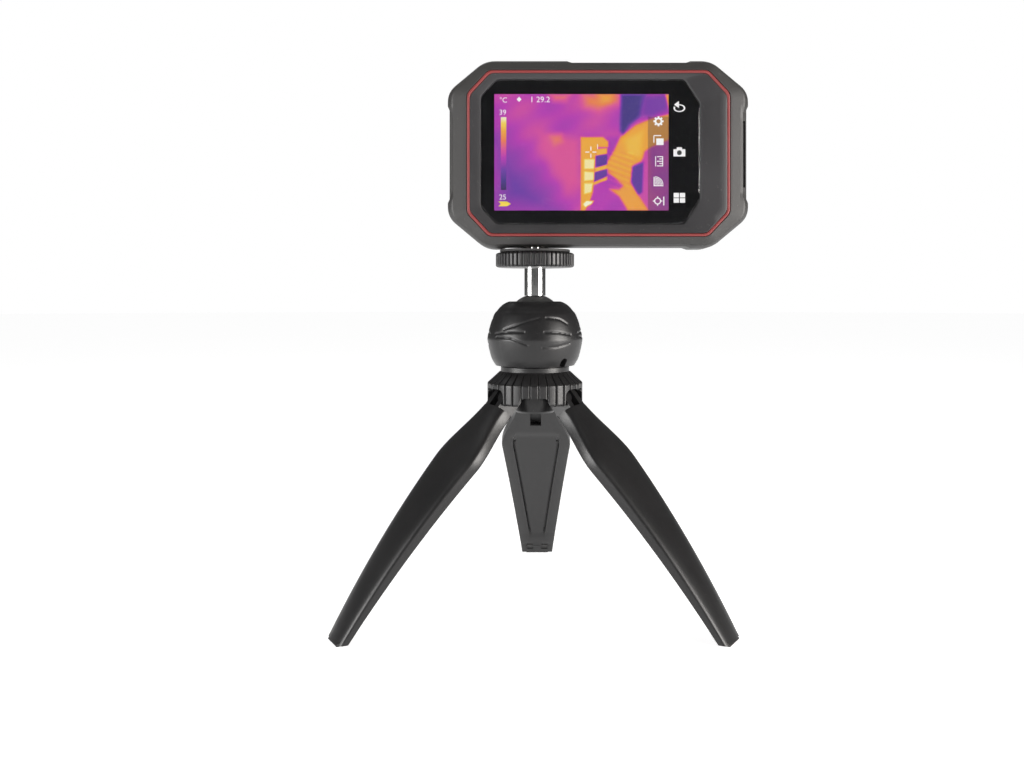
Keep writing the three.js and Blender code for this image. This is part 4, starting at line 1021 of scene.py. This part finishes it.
# Warm and cool areas of the heat picture, painted over one another: name, heat, softness of the
# edge, and corners.
WARM_AREAS = [
    ("cool corner", 0.27, 12, [(-47, 7), (-28, -12), (-20, -26), (-47, -26)]),
    ("panel", 0.56, 3.5, [(-27, 10), (-8, 7), (-8, -14), (-14, -17), (-27, 3)]),
    ("panel spot", 0.66, 2.5, [(-22, 8), (-17, 8.5), (-16.5, 5.5), (-20, 4)]),
    ("upper spot", 0.66, 3, [(-22, 27), (-13, 27), (-15, 24), (-20, 24)]),
    ("upper glow", 0.70, 4, [(-7, 27), (10, 27), (9.5, 23), (0, 19.5), (-6, 21.5)]),
    ("upper core", 0.82, 3, [(0, 27), (7, 27), (5, 24), (2, 23.5)]),
    ("cold gap", 0.12, 1.4, [(10.5, 27), (21.5, 27), (19, 17), (14, 13), (11.5, 8.5), (10, 10.5)]),
    ("sleeve shade", 0.30, 2.5, [(20.5, 27), (32.5, 27), (32, 19.5), (24.5, 16), (19, 17)]),
    ("corner glow", 0.80, 0.8, [(30.5, 27), (32.5, 27), (32.5, 19)]),
    ("warm edge", 0.50, 1.2, [(19.5, 4), (24, 5.5), (24, -21.5), (19.5, -21.5)]),
    ("palm shade", 0.40, 2, [(4, 7.5), (10, 7.5), (7, 1), (4, -2.5)]),
    ("sleeve hole", 0.22, 0.8, [(15.5, -6), (20.5, -4), (20, -17.5), (17.5, -19.5), (15, -13)]),
    ("arm", 0.79, 0.9, [(10, 7.5), (17, 13), (24.5, 16), (32.5, 18), (32.5, 6.5), (24, 3), (21, 1),
                        (19.5, -3.5), (15.5, -5.5), (14.5, -12), (9, -10), (3.5, -7), (4, -4),
                        (7, 1)]),
    ("thumb", 0.78, 0.9, [(4, -8), (14.5, -9), (14.5, -13), (20.5, -22.5), (23, -26), (13.5, -26),
                          (9.5, -19.5), (5, -16), (9.5, -16.5), (11.5, -14.5)]),
    ("palm core", 0.85, 2.2, [(11.5, 6.5), (20.5, 10.5), (19.5, -1.5), (13.5, -1)]),
    ("block", 0.81, 0.5, [(-8, 7.5), (2, 7.5), (4.5, 5.5), (4.5, 3), (-0.5, 3), (-1.5, -2.5),
                          (-2, -17.5), (-6, -26), (-8, -26)]),
    ("first tooth", 0.83, 0.4, [(-1, 2), (4, 2.5), (4, 0), (-1, -1)]),
    ("first slot", 0.22, 0.4, [(-1, -1), (4, -0.5), (4, -5), (-1, -6.5)]),
    ("second tooth", 0.84, 0.4, [(-1.5, -6.5), (4, -5), (4, -7), (-1.5, -8.5)]),
    ("second slot", 0.24, 0.4, [(-1.5, -8.5), (4, -7), (4, -10), (-2, -13)]),
    ("third tooth", 0.84, 0.4, [(-2, -13), (4, -10.5), (4, -12), (-2, -14.5)]),
    ("under block", 0.44, 1, [(-2, -14.5), (2, -13), (5, -17.5), (0.5, -26), (-4, -26)]),
    ("hot label", 0.96, 0.4, [(-6.5, -2.5), (-1.5, -2.5), (-2, -7), (-6.5, -7)]),
    ("hot label", 0.96, 0.4, [(-6.5, -8), (-2, -8.5), (-2, -12), (-6.5, -12.5)]),
    ("hot label", 0.96, 0.4, [(-6.5, -13.5), (-2.5, -13.5), (-3, -17.5), (-6.5, -18.5)]),
    ("hot tip", 1.00, 0.4, [(-7, -23), (-5.5, -21.5), (-2, -21.5), (-3, -23), (-6, -24.5)]),
]
TOOL_COLUMN = 22.6


def inside_by(x, z, corners):
    """How far a place lies inside a closed outline, in millimetres, or outside it if negative."""
    nearest, inside = 1e9, False
    for (ax, az), (bx, bz) in zip(corners, corners[1:] + corners[:1]):
        wide, tall = bx - ax, bz - az
        share = clamp(((x - ax) * wide + (z - az) * tall) / (wide * wide + tall * tall))
        nearest = min(nearest, math.hypot(x - ax - share * wide, z - az - share * tall))
        if (az > z) != (bz > z) and x < ax + wide * (z - az) / tall:
            inside = not inside
    return nearest if inside else -nearest


def heat_at(x, z):
    """Warmth of a place on the picture, from 0 to 1."""
    heat = 0.46 + 0.03 * math.sin(0.21 * x + 0.13 * z) + 0.02 * math.sin(0.5 * z - 0.3 * x)
    for _, value, soft, corners in WARM_AREAS:
        if (min(c[0] for c in corners) - soft > x or max(c[0] for c in corners) + soft < x
                or min(c[1] for c in corners) - soft > z or max(c[1] for c in corners) + soft < z):
            continue
        heat = mix(heat, value, smooth(inside_by(x, z, corners), -soft, soft))
    if in_creased_palm(x, z):
        heat += 0.03 * math.sin(2.4 * z + 0.9 * x)
    return clamp(heat)


def in_creased_palm(x, z):
    """Whether a place is on the creased part of the hand, where warmth comes in bands."""
    return 4 < x < 16 and -16 < z < 1


def heat_sheet(name, place, pitch, depth, heat):
    """A flat lit sheet facing the front, with the heat of each of its points."""
    left, right, bottom, top = place
    columns = max(1, round((right - left) / pitch))
    rows = max(1, round((top - bottom) / pitch))
    points, faces, warmth, veil = [], [], [], []
    for j in range(rows + 1):
        for i in range(columns + 1):
            x, z = mix(left, right, i / columns), mix(bottom, top, j / rows)
            points.append(case_point(x, depth, z))
            warmth.append(heat(x, z))
            veil.append(1.0 if x > TOOL_COLUMN and z < 17.0 else 0.0)
    for j in range(rows):
        for i in range(columns):
            first = j * (columns + 1) + i
            faces.append((first, first + 1, first + columns + 2, first + columns + 1))
    sheet = mesh_piece(name, points, faces, "heat_picture", outward=False)
    stored = sheet.data.attributes.new("warmth", "FLOAT", "POINT")
    stored.data.foreach_set("value", warmth)
    stored = sheet.data.attributes.new("veil", "FLOAT", "POINT")
    stored.data.foreach_set("value", veil)
    return hand_over(sheet, "camera", "display")


def flat_outline(marks, outline):
    start = len(marks[0])
    marks[0].extend(case_point(x, INK_DEPTH, z) for x, z in outline)
    marks[1].append(tuple(range(start, start + len(outline))))


def rectangle(marks, left, bottom, right, top):
    flat_outline(marks, [(left, bottom), (right, bottom), (right, top), (left, top)])


def ring_mark(marks, x, z, outer, inner, first=0.0, last=360.0, steps=28):
    """A flat ring, or part of one between two angles in degrees."""
    for step in range(steps):
        corners = []
        for radius, turn in ((outer, step), (outer, step + 1), (inner, step + 1), (inner, step)):
            angle = math.radians(mix(first, last, turn / steps))
            corners.append((x + radius * math.cos(angle), z + radius * math.sin(angle)))
        flat_outline(marks, corners)


def stroke(marks, start, end, width):
    along = (Vector(end) - Vector(start)).normalized() * width / 2
    side = Vector((-along.y, along.x))
    a, b = Vector(start), Vector(end)
    flat_outline(marks, [tuple(p) for p in (a - side, b - side, b + side, a + side)])


def lettering(marks, text, size, x, z):
    curve = bpy.data.curves.new("figures", "FONT")
    curve.body = text
    curve.size = size
    writing = bpy.data.objects.new("figures", curve)
    bpy.context.scene.collection.objects.link(writing)
    graph = bpy.context.evaluated_depsgraph_get()
    mesh = bpy.data.meshes.new_from_object(writing.evaluated_get(graph), depsgraph=graph)
    start = len(marks[0])
    marks[0].extend(case_point(x + v.co.x, INK_DEPTH, z + v.co.y) for v in mesh.vertices)
    marks[1].extend(tuple(start + i for i in face.vertices) for face in mesh.polygons)
    bpy.data.objects.remove(writing)
    bpy.data.curves.remove(curve)
    bpy.data.meshes.remove(mesh)


def tool_icons(marks, x):
    """Gear, two sheets, ruler, quarter fan and target, down one column."""
    gear = Vector((x, 14.7))
    for step in range(8):
        angle = math.radians(45 * step)
        way = Vector((math.cos(angle), math.sin(angle)))
        stroke(marks, tuple(gear + 1.5 * way), tuple(gear + 2.3 * way), 0.8)
    ring_mark(marks, x, 14.7, 1.75, 0.95)
    rectangle(marks, x - 1.0, 3.9, x + 2.3, 6.9)
    for start, end in (((-2.1, 8.2), (1.2, 8.2)), ((-2.1, 5.0), (-2.1, 8.2))):
        stroke(marks, (x + start[0], start[1]), (x + end[0], end[1]), 0.45)
    for side in (-1.3, 1.9):
        stroke(marks, (x + side, -5.8), (x + side, -1.2), 0.4)
    for step in range(5):
        reach = 2.6 if step % 2 == 0 else 1.5
        stroke(marks, (x + 1.9 - reach, -5.6 + 1.05 * step), (x + 1.9, -5.6 + 1.05 * step), 0.4)
    stroke(marks, (x - 2.0, -14.8), (x - 2.0, -10.6), 0.45)
    stroke(marks, (x - 2.0, -14.6), (x + 2.2, -14.6), 0.45)
    for step in range(6):
        ring_mark(marks, x - 1.6, -14.2, 0.7 + 0.62 * step, 0.35 + 0.62 * step, 0, 90, 10)
    ring_mark(marks, x - 0.4, -21.6, 1.6, 1.1)
    for across, up in ((-1, 0), (0, -1), (0, 1), (1, 0)):
        stroke(marks, (x - 0.4 + 1.1 * across, -21.6 + 1.1 * up),
               (x - 0.4 + 2.2 * across, -21.6 + 2.2 * up), 0.45)
    stroke(marks, (x + 2.4, -23.6), (x + 2.4, -19.6), 0.5)


def menu_icons(marks, x):
    """A loop arrow, a camera and four squares on the dark bar."""
    for step in range(30):
        angles = [math.radians(mix(-205, 95, (step + part) / 30)) for part in (0, 1)]
        corners = [(angles[0], 1.0), (angles[1], 1.0), (angles[1], 0.74), (angles[0], 0.74)]
        flat_outline(marks, [(x + 2.7 * reach * math.cos(angle),
                              20.7 + 1.75 * reach * math.sin(angle))
                             for angle, reach in corners])
    flat_outline(marks, [(x - 0.2, 20.7), (x - 0.2, 24.0), (x - 2.4, 22.3)])
    rectangle(marks, x - 2.7, -1.3, x + 2.7, 2.0)
    rectangle(marks, x - 1.2, 2.0, x + 1.2, 2.9)
    for across, up in ((-2.6, -22.4), (0.2, -22.4), (-2.6, -20.0), (0.2, -20.0)):
        rectangle(marks, x + across, up, x + across + 2.4, up + 2.1)


def screen_marks():
    white, yellow = ([], []), ([], [])
    lettering(white, "°C", 3.3, -45.1, 23.3)
    lettering(white, "39", 3.3, -45.2, 17.7)
    lettering(white, "25", 3.3, -45.2, -20.9)
    lettering(white, "1 29.2", 3.7, -31.2, 23.4)
    lettering(white, "1", 3.4, -1.2, 2.0)
    flat_outline(white, [(-36.1, 23.5), (-35.0, 24.7), (-36.1, 25.9), (-37.2, 24.7)])
    for start, end in (((-5.9, 0.7), (-4.1, 0.7)), ((-2.7, 0.7), (-0.9, 0.7)),
                       ((-3.4, -1.8), (-3.4, 0.0)), ((-3.4, 1.4), (-3.4, 3.2))):
        stroke(white, start, end, 0.45)
    tool_icons(white, 27.4)
    menu_icons(white, 36.9)
    flat_outline(yellow, [(-45.6, -24.0), (-41.6, -24.0), (-39.8, -22.9), (-41.6, -21.8),
                          (-45.6, -21.8), (-44.4, -22.9)])
    for name, marks, ink in (("screen_marks", white, "white_ink"),
                             ("screen_arrow", yellow, "yellow_ink")):
        sheet = mesh_piece(name, marks[0], marks[1], ink, outward=False)
        hand_over(sheet, "camera", "display")
    hole = ([], [])
    ring_mark(hole, 36.9, 0.4, 1.1, 0.0)
    dot = mesh_piece("menu_lens_dot", [p - Vector((0, 0.01 * MM, 0)) for p in hole[0]], hole[1],
                     "menu_ink", outward=False)
    hand_over(dot, "camera", "display")


def make_border():
    """The black print round the lit picture, seen through the glass."""
    border = mesh_piece("black_print", at_depth(glass_outline(0.1), PICTURE_DEPTH + 0.02),
                        [tuple(range(len(glass_outline(0.0))))], "display", outward=False)
    hand_over(border, "camera", "display")


def make_screen():
    make_border()
    heat_sheet("heat_picture", PICTURE, 0.4, PICTURE_DEPTH, heat_at)
    bar = (-44.4, -41.9, -16.6, 16.6)
    heat_sheet("colour_bar", bar, 0.5, INK_DEPTH,
               lambda x, z: clamp((z - bar[2]) / (bar[3] - bar[2])))
    screen_marks()


# ---------------------------------------------------------------- tripod head


def eased(profile, step):
    """A smooth run of points through a profile, about a step apart, in millimetres."""
    points = [Vector(point) for point in profile]
    run = [points[0]]
    for i in range(len(points) - 1):
        before = points[max(0, i - 1)]
        after = points[min(len(points) - 1, i + 2)]
        a, b = points[i], points[i + 1]
        count = max(1, round((b - a).length / step))
        for k in range(1, count + 1):
            t = k / count
            run.append(0.5 * ((2 * a) + (b - before) * t
                              + (2 * before - 5 * a + 4 * b - after) * t * t
                              + (3 * a - before - 3 * b + after) * t ** 3))
    return [tuple(point) for point in run]


KNOB_PROFILE = [(18.3, -12.2), (20.0, -9.4), (20.9, -6.6), (21.6, -3.6), (22.05, -1.0), (22.15, 0),
                (22.05, 0.9), (21.6, 3.3), (20.9, 6.1), (20.0, 8.9), (18.8, 11.7), (17.6, 13.1),
                (16.4, 14.6), (14.8, 16.0), (13.2, 16.9)]
# Pressed lines on the knob's grip: degrees round from the front, and millimetres up from the
# widest part. They repeat every third of a turn.
KNOB_LINES = [
    [(-40.6, 4.7), (-24.0, 6.6), (-9.0, 8.4), (6.5, 9.8)],
    [(15.7, 10.0), (25.0, 9.8), (35.0, 9.3), (46.0, 7.2)],
    [(-55.0, 2.8), (-33.0, 3.6), (-12.5, 3.7)],
    [(12.5, 3.7), (30.0, 3.4), (48.6, 2.3)],
    [(-51.8, 1.4), (-29.0, 0.9), (-8.5, -1.9)],
    [(9.8, -3.0), (26.5, -3.0), (46.0, -1.4)],
]


def pressed_depth(angle, rise, radius):
    """How deep the grip's pressed lines are at a place on the knob, in millimetres."""
    turn = (angle + 60.0) % 120.0 - 60.0
    reach = math.radians(1.0) * radius
    here = Vector((turn * reach, rise))
    depth = 0.0
    for line in KNOB_LINES:
        for start, end in zip(line, line[1:]):
            a = Vector((start[0] * reach, start[1]))
            b = Vector((end[0] * reach, end[1]))
            share = clamp((here - a).dot(b - a) / (b - a).length_squared)
            away = (here - a.lerp(b, share)).length
            depth = max(depth, 0.34 * math.exp(-(away / 0.42) ** 2))
    return depth


def make_knob():
    equator = knob_low.z / MM + 12.2
    outside = eased(KNOB_PROFILE, 0.4)
    inside = [(12.0, 17.35), (11.2, 17.35), (10.6, 17.0), (10.5, 16.6)]
    hollow = BALL_RADIUS + 0.32
    rise = ball_z / MM - equator
    for step in range(13):
        angle = math.radians(mix(37.5, 0.0, step / 12))
        inside.append((hollow * math.cos(angle), rise + hollow * math.sin(angle)))
    inside += [(15.3, rise - 0.4), (15.3, -12.0), (15.5, -12.2)]
    profile = outside + inside
    segments = 420
    points, faces = [], []
    for i, (radius, height) in enumerate(profile):
        for j in range(segments):
            angle = 360.0 * j / segments
            depth = pressed_depth(angle, height, radius) if i < len(outside) else 0.0
            turn = math.radians(angle)
            reach = radius - depth
            points.append(tripod_point(reach * math.sin(turn), -reach * math.cos(turn),
                                       (equator + height) * MM))
    for i in range(len(profile)):
        upper = (i + 1) % len(profile)
        for j in range(segments):
            k = (j + 1) % segments
            faces.append((i * segments + j, i * segments + k, upper * segments + k,
                          upper * segments + j))
    knob = mesh_piece("grip_knob", points, faces, "tripod_plastic", 40)
    notch = arch_block("thumb_notch", 1.75, -16.0, -8.3, 1.6, 14.0, 26.0, equator, 180 + 42)
    carved(knob, [notch], 40)
    return hand_over(knob, "lock_knob", "tripod_plastic", "lock_knob")


def arch_block(name, half, bottom, top, rounding, near, far, base, degrees):
    """A round-topped block reaching outwards from the axis, turned about it."""
    outline = [(-half, bottom), (half, bottom)]
    for step in range(7):
        angle = math.radians(90.0 * step / 6)
        outline.append((half - rounding + rounding * math.cos(angle),
                        top - rounding + rounding * math.sin(angle)))
    for step in range(7):
        angle = math.radians(90.0 + 90.0 * step / 6)
        outline.append((-half + rounding + rounding * math.cos(angle),
                        top - rounding + rounding * math.sin(angle)))
    turn = math.radians(degrees)
    rows = []
    for reach in (near, far):
        rows.append([tripod_point(x * math.cos(turn) - reach * math.sin(turn),
                                  x * math.sin(turn) + reach * math.cos(turn), (base + z) * MM)
                     for x, z in outline])
    return loft(name, rows, "tripod_plastic", closed=False)


def make_hub():
    bottom = hub_low.z / MM
    base = Vector((axis_x, axis_y, 0.0))
    shoulder = [(22.0, bottom + 9.3), (21.6, bottom + 9.75), (20.4, bottom + 10.8),
                (18.2, bottom + 12.8), (16.7, bottom + 14.2), (15.9, bottom + 14.6)]
    side = [(22.1, bottom + 0.5 + 8.6 * step / 14) for step in range(15)]
    profile = [(0, bottom + 8), (19.7, bottom + 8), (19.7, bottom + 0.1), (19.9, bottom),
               (21.7, bottom)] + side + shoulder
    profile += [(15.9, bottom + 16.6), (15.6, bottom + 16.95), (14.95, bottom + 16.95),
                (14.95, hub_high.z / MM), (11.8, hub_high.z / MM), (11.8, ball_z / MM - 14),
                (0, ball_z / MM - 14)]
    hub = turned("fluted_hub", profile, base, "tripod_plastic", 34 * 16, "z", 40)
    grown(hub, FLUTES, Centre=base, Count=34, Depth=0.75 * MM, Groove_Share=0.34,
          Low=(bottom + 0.2) * MM, High=(bottom + 13.6) * MM, Inner_Radius=16.8 * MM,
          Material=MATERIALS["tripod_plastic"])
    arches = []
    for i in range(3):
        arches.append(arch_block("leg_arch", 7.7, -2.0, pin_z / MM + 4.8 - bottom, 3.0, 16.7, 28,
                                 bottom, 120 * i))
        arches.append(arch_block("low_arch", 7.2, -2.0, 3.7, 3.0, 16.7, 28, bottom, 120 * i + 60))
    carved(hub, arches, 40)
    return hand_over(hub, "hub", "tripod_plastic", "hub")


def make_head():
    base = Vector((axis_x, axis_y, 0.0))
    low, high = disc_low.z / MM, disc_high.z / MM
    side = [(18.2, mix(low + 0.8, high - 0.8, step / 12)) for step in range(13)]
    disc = turned("lock_ring", [(5.15, low), (16.9, low), (17.6, low + 0.2), (18.0, low + 0.5)]
                  + side + [(18.0, high - 0.5), (17.6, high - 0.2), (16.9, high), (3.45, high),
                            (3.45, low + 4), (5.15, low + 4)], base, "tripod_plastic", 50 * 12)
    grown(disc, FLUTES, Centre=base, Count=50, Depth=0.85 * MM, Groove_Share=0.45,
          Low=(low - 1) * MM, High=(high + 1) * MM, Inner_Radius=17.3 * MM,
          Material=MATERIALS["tripod_plastic"])
    shade(disc, 40)
    hand_over(disc, "lock_disc", "tripod_plastic", "lock_disc")
    pad_low, pad_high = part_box("disc_pad")
    low, high = pad_low.z / MM, pad_high.z / MM
    pad = turned("contact_pad", [(3.6, low), (16.1, low), (16.3, low + 0.15), (16.3, high - 0.15),
                                 (16.1, high), (3.6, high)], base, "pad_rubber", 128)
    hand_over(pad, "disc_pad", "pad_rubber", "disc_pad")
    hollow = BALL_RADIUS + 0.3
    low, high = ball_z / MM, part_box("post")[1].z / MM
    rows = [(0, low + hollow)]
    for step in range(1, 7):
        radius = 4.9 * step / 6
        rows.append((radius, low + math.sqrt(hollow ** 2 - radius ** 2)))
    shoulder = disc_low.z / MM + 0.86
    rows += [(4.9, shoulder - 0.2), (4.7, shoulder), (3.05, shoulder), (3.05, high - 0.6),
             (2.5, high), (0, high)]
    post = turned("post_stem", rows, base, "polished_steel", 96)
    hand_over(post, "post", "polished_steel", "post")
    sphere = [(BALL_RADIUS * math.sin(math.pi * step / 48),
               -BALL_RADIUS * math.cos(math.pi * step / 48))
              for step in range(49)]
    sphere[0], sphere[-1] = (0, -BALL_RADIUS), (0, BALL_RADIUS)
    ball = turned("swivel_ball", sphere, Vector((axis_x, axis_y, ball_z)), "ball_steel", 96)
    hand_over(ball, "ball", "ball_steel", "ball")


# ---------------------------------------------------------------- legs

LEG_CROWN = [(0, 1), (0.12, 0.997), (0.25, 0.988), (0.38, 0.972), (0.52, 0.942), (0.65, 0.90),
             (0.76, 0.85), (0.86, 0.79), (0.93, 0.725), (0.975, 0.65), (0.995, 0.58), (1, 0.5),
             (1, 0.12), (0.985, 0.03), (0.96, 0.0)]


def leg_half(down):
    taper = (FOOT_HALF - KNEE_HALF) * ((down - NECK_END) / (LEG_LENGTH - NECK_END))
    return KNEE_HALF + taper - (KNEE_HALF - NECK_HALF) * (1 - smooth(down, NECK_END, KNEE_END))


def leg_outer(down):
    along = down / LEG_LENGTH
    return mix(OUTER_AT_PIN, OUTER_AT_FOOT, along) + OUTER_BOW * along * (1 - along)


def leg_inner(down):
    along = down / LEG_LENGTH
    return mix(INNER_AT_PIN, INNER_AT_FOOT, along) + INNER_BOW * along * (1 - along)


def leg_row(down):
    """One row round a leg: crowned outside, side walls, and inside a flange, a groove and a
    panel on each half. Points are millimetres in the leg's own frame."""
    half, outer, inner = leg_half(down), leg_outer(down), leg_inner(down)
    right = [(x * half, mix(inner, outer, y)) for x, y in LEG_CROWN]
    sunk = smooth(down, 26.0, 30.0) * (1 - smooth(down, 109.0, 112.0))
    cut = smooth(down, 32.0, 36.0) * (1 - smooth(down, 106.0, 109.0))
    panel = inner + 0.45 * sunk
    edge = half - FLANGE_WIDTH
    for inset, depth in ((0.0, inner), (0.3, mix(inner, panel, 0.5)), (0.55, panel),
                         (0.6, panel + 2.2 * cut), (GROOVE_WIDTH - 0.1, panel + 2.2 * cut),
                         (GROOVE_WIDTH, panel), (GROOVE_WIDTH + 0.6, panel)):
        right.append((max(0.4, edge - inset), depth))
    right.append((0.0, panel))
    left = [(-x, y) for x, y in reversed(right[1:-1])]
    return [Vector((x, y, -down)) for x, y in right + left]


def cheek(low, high):
    """One of a leg's two knuckle cheeks, with its hole for the pin."""
    rows = []
    for x, outer in ((low, True), (high, True), (high, False), (low, False)):
        row = []
        for step in range(64):
            angle = 2 * math.pi * step / 64
            y, z = math.cos(angle), math.sin(angle)
            reach = 1.75
            if outer:
                reach = 4.2 if z >= 0 else min(4.2 / max(abs(y), 1e-6), 9.0 / abs(z))
                if y < 0 and z < 0:
                    reach = min(reach, 4.0 / max(abs(y), 1e-6))
            row.append(Vector((x, reach * y, reach * z)))
        rows.append(row)
    return rows


def local_box(name, low, high, place):
    return box_piece(name, Vector(low), Vector(high), "tripod_plastic", place)


def make_leg(side, degrees):
    place = (Matrix.Translation((axis_x, axis_y, 0))
             @ Matrix.Rotation(math.radians(degrees), 4, "Z")
             @ Matrix.Translation((0, PIN_CIRCLE * MM, pin_z))
             @ Matrix.Rotation(math.radians(LEG_LEAN), 4, "X") @ Matrix.Scale(MM, 4))
    downs = [7.0, 7.4, 8.2] + [9.0 + 1.5 * step for step in range(80)]
    rows = [[place @ point for point in leg_row(down)] for down in downs]
    leg = loft("leg_shell_" + side, rows, "tripod_plastic", closed=False, sharp=33)
    floor = box_piece("floor_cut", Vector((-1, -1, -0.1)), Vector((1, 1, FOOT_CLEAR * MM)),
                      "tripod_plastic")
    cutters = [local_box("web_slot", (-2.65, -12, -20.6), (2.65, 1.2, -11.4), place),
               local_box("foot_pocket", (-6.5, 0.8, -134), (6.5, 3.8, 6.3 - LEG_LENGTH), place)]
    for side_of in (-1, 1):
        low, high = sorted((2.3 * side_of, 5.8 * side_of))
        cutters.append(local_box("toe_pocket", (low, -3, -121.4), (high, 1.6, -117.0), place))
    for cutter in cutters + [floor]:
        carved(leg, [cutter], 33)
    cheeks = []
    for low, high in ((-6.7, -2.85), (2.85, 6.7)):
        cheeks.append(loft("cheek", [[place @ p for p in row] for row in cheek(low, high)],
                           "tripod_plastic"))
    leg = joined([leg] + cheeks)
    shade(leg, 33)
    hand_over(leg, "leg_" + side, "tripod_plastic", "leg_" + side)
    foot = softened("foot_" + side, "foot_pad_" + side, 0.5, "pad_rubber", 3)
    hand_over(foot, "leg_" + side, "pad_rubber", "foot_" + side)


# ---------------------------------------------------------------- parts kept from the frame


def dress_frame():
    for name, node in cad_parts.items():
        for place in node.material_slots:
            place.material = MATERIALS[node_finish[name]]


# ---------------------------------------------------------------- stage, light and camera


def studio_material(name, colour, tint):
    material, tree, shader, place = start_material(name)
    cloud = noise_node(tree, place, 1.5, 2.0)
    tree.links.new(colour_mix(tree, cloud, colour, tint), shader.inputs["Base Color"])
    shader.inputs["Roughness"].default_value = 0.6
    shader.inputs["Specular IOR Level"].default_value = 0.1
    shader.inputs["Emission Color"].default_value = (1.0, 1.0, 1.0, 1.0)
    shader.inputs["Emission Strength"].default_value = 0.77
    return material


FLOOR_RADIUS = 9.0
FLOOR_SIDES = 96
SURROUND_SEEN = 0.94
SURROUND_LIGHT = 0.06
LIGHT_AIM = (0.0, 0.0, 0.15)
SOFTBOXES = (("left_softbox", (-0.90, -0.50, 0.24), 11.0, (1.0, 0.99, 0.98)),
             ("right_softbox", (0.92, -0.50, 0.24), 17.0, (1.0, 0.965, 0.93)))
SOFTBOX_SIZE = (0.6, 0.5)


def make_stage():
    MATERIALS["studio"] = studio_material("studio", (0.80, 0.80, 0.80), (0.83, 0.83, 0.83))
    points = [Vector((0.0, 0.0, 0.0))]
    for step in range(FLOOR_SIDES):
        angle = 2 * math.pi * step / FLOOR_SIDES
        points.append(Vector((FLOOR_RADIUS * math.cos(angle), FLOOR_RADIUS * math.sin(angle), 0.0)))
    faces = [(0, step + 1, (step + 1) % FLOOR_SIDES + 1) for step in range(FLOOR_SIDES)]
    mesh_piece("studio_floor", points, faces, "studio", outward=False)


def soft_light(name, place, power, colour):
    lamp = bpy.data.lights.new(name, "AREA")
    lamp.shape = "RECTANGLE"
    lamp.size, lamp.size_y = SOFTBOX_SIZE
    lamp.energy = power
    lamp.color = colour
    holder = bpy.data.objects.new(name, lamp)
    bpy.context.scene.collection.objects.link(holder)
    holder.location = place
    aim = Vector(LIGHT_AIM) - Vector(place)
    holder.rotation_euler = aim.to_track_quat("-Z", "Y").to_euler()


def make_lights():
    """A white surround for the eye, a dim one for the object, and softboxes at both sides."""
    world = bpy.data.worlds.new("studio_air")
    bpy.context.scene.world = world
    world.use_nodes = True
    tree = world.node_tree
    air = tree.nodes["Background"]
    air.inputs["Color"].default_value = (1.0, 1.0, 1.0, 1.0)
    seen = tree.nodes.new("ShaderNodeLightPath").outputs["Is Camera Ray"]
    strength = math_node(tree, "MULTIPLY_ADD", seen, SURROUND_SEEN, SURROUND_LIGHT)
    tree.links.new(strength, air.inputs["Strength"])
    for name, place, power, colour in SOFTBOXES:
        soft_light(name, place, power, colour)
    sun = bpy.data.lights.new("overhead_sky", "SUN")
    sun.energy = 0.7
    sun.angle = math.radians(60)
    holder = bpy.data.objects.new("overhead_sky", sun)
    bpy.context.scene.collection.objects.link(holder)
    holder.rotation_euler = (math.radians(-22), math.radians(-4), 0.0)
    bpy.context.scene.view_settings.view_transform = "Standard"


def make_camera():
    lens = bpy.data.cameras.new("viewpoint")
    lens.sensor_width = 36.0
    lens.lens = 33.93
    lens.shift_x, lens.shift_y = -0.035, -0.085
    lens.clip_start = 0.01
    camera = bpy.data.objects.new("viewpoint", lens)
    bpy.context.scene.collection.objects.link(camera)
    camera.location = (axis_x + 0.006, axis_y - 0.45, 0.144)
    camera.rotation_euler = (math.radians(90), 0.0, 0.0)
    bpy.context.scene.camera = camera


make_camera()
make_lights()
make_stage()
dress_frame()
make_armour()
make_bezel()
make_strip()
make_glass()
make_screen()
make_rear()
make_optics()
make_buttons()
make_flap()
make_screws()
make_head()
make_knob()
make_hub()
for leg_side, leg_turn in (("back", 0), ("left", 120), ("right", -120)):
    make_leg(leg_side, leg_turn)
carrier = softened("leg_carrier", "pin_carrier", 0.3, "tripod_plastic")
hand_over(carrier, "hub", "tripod_plastic", "leg_carrier")
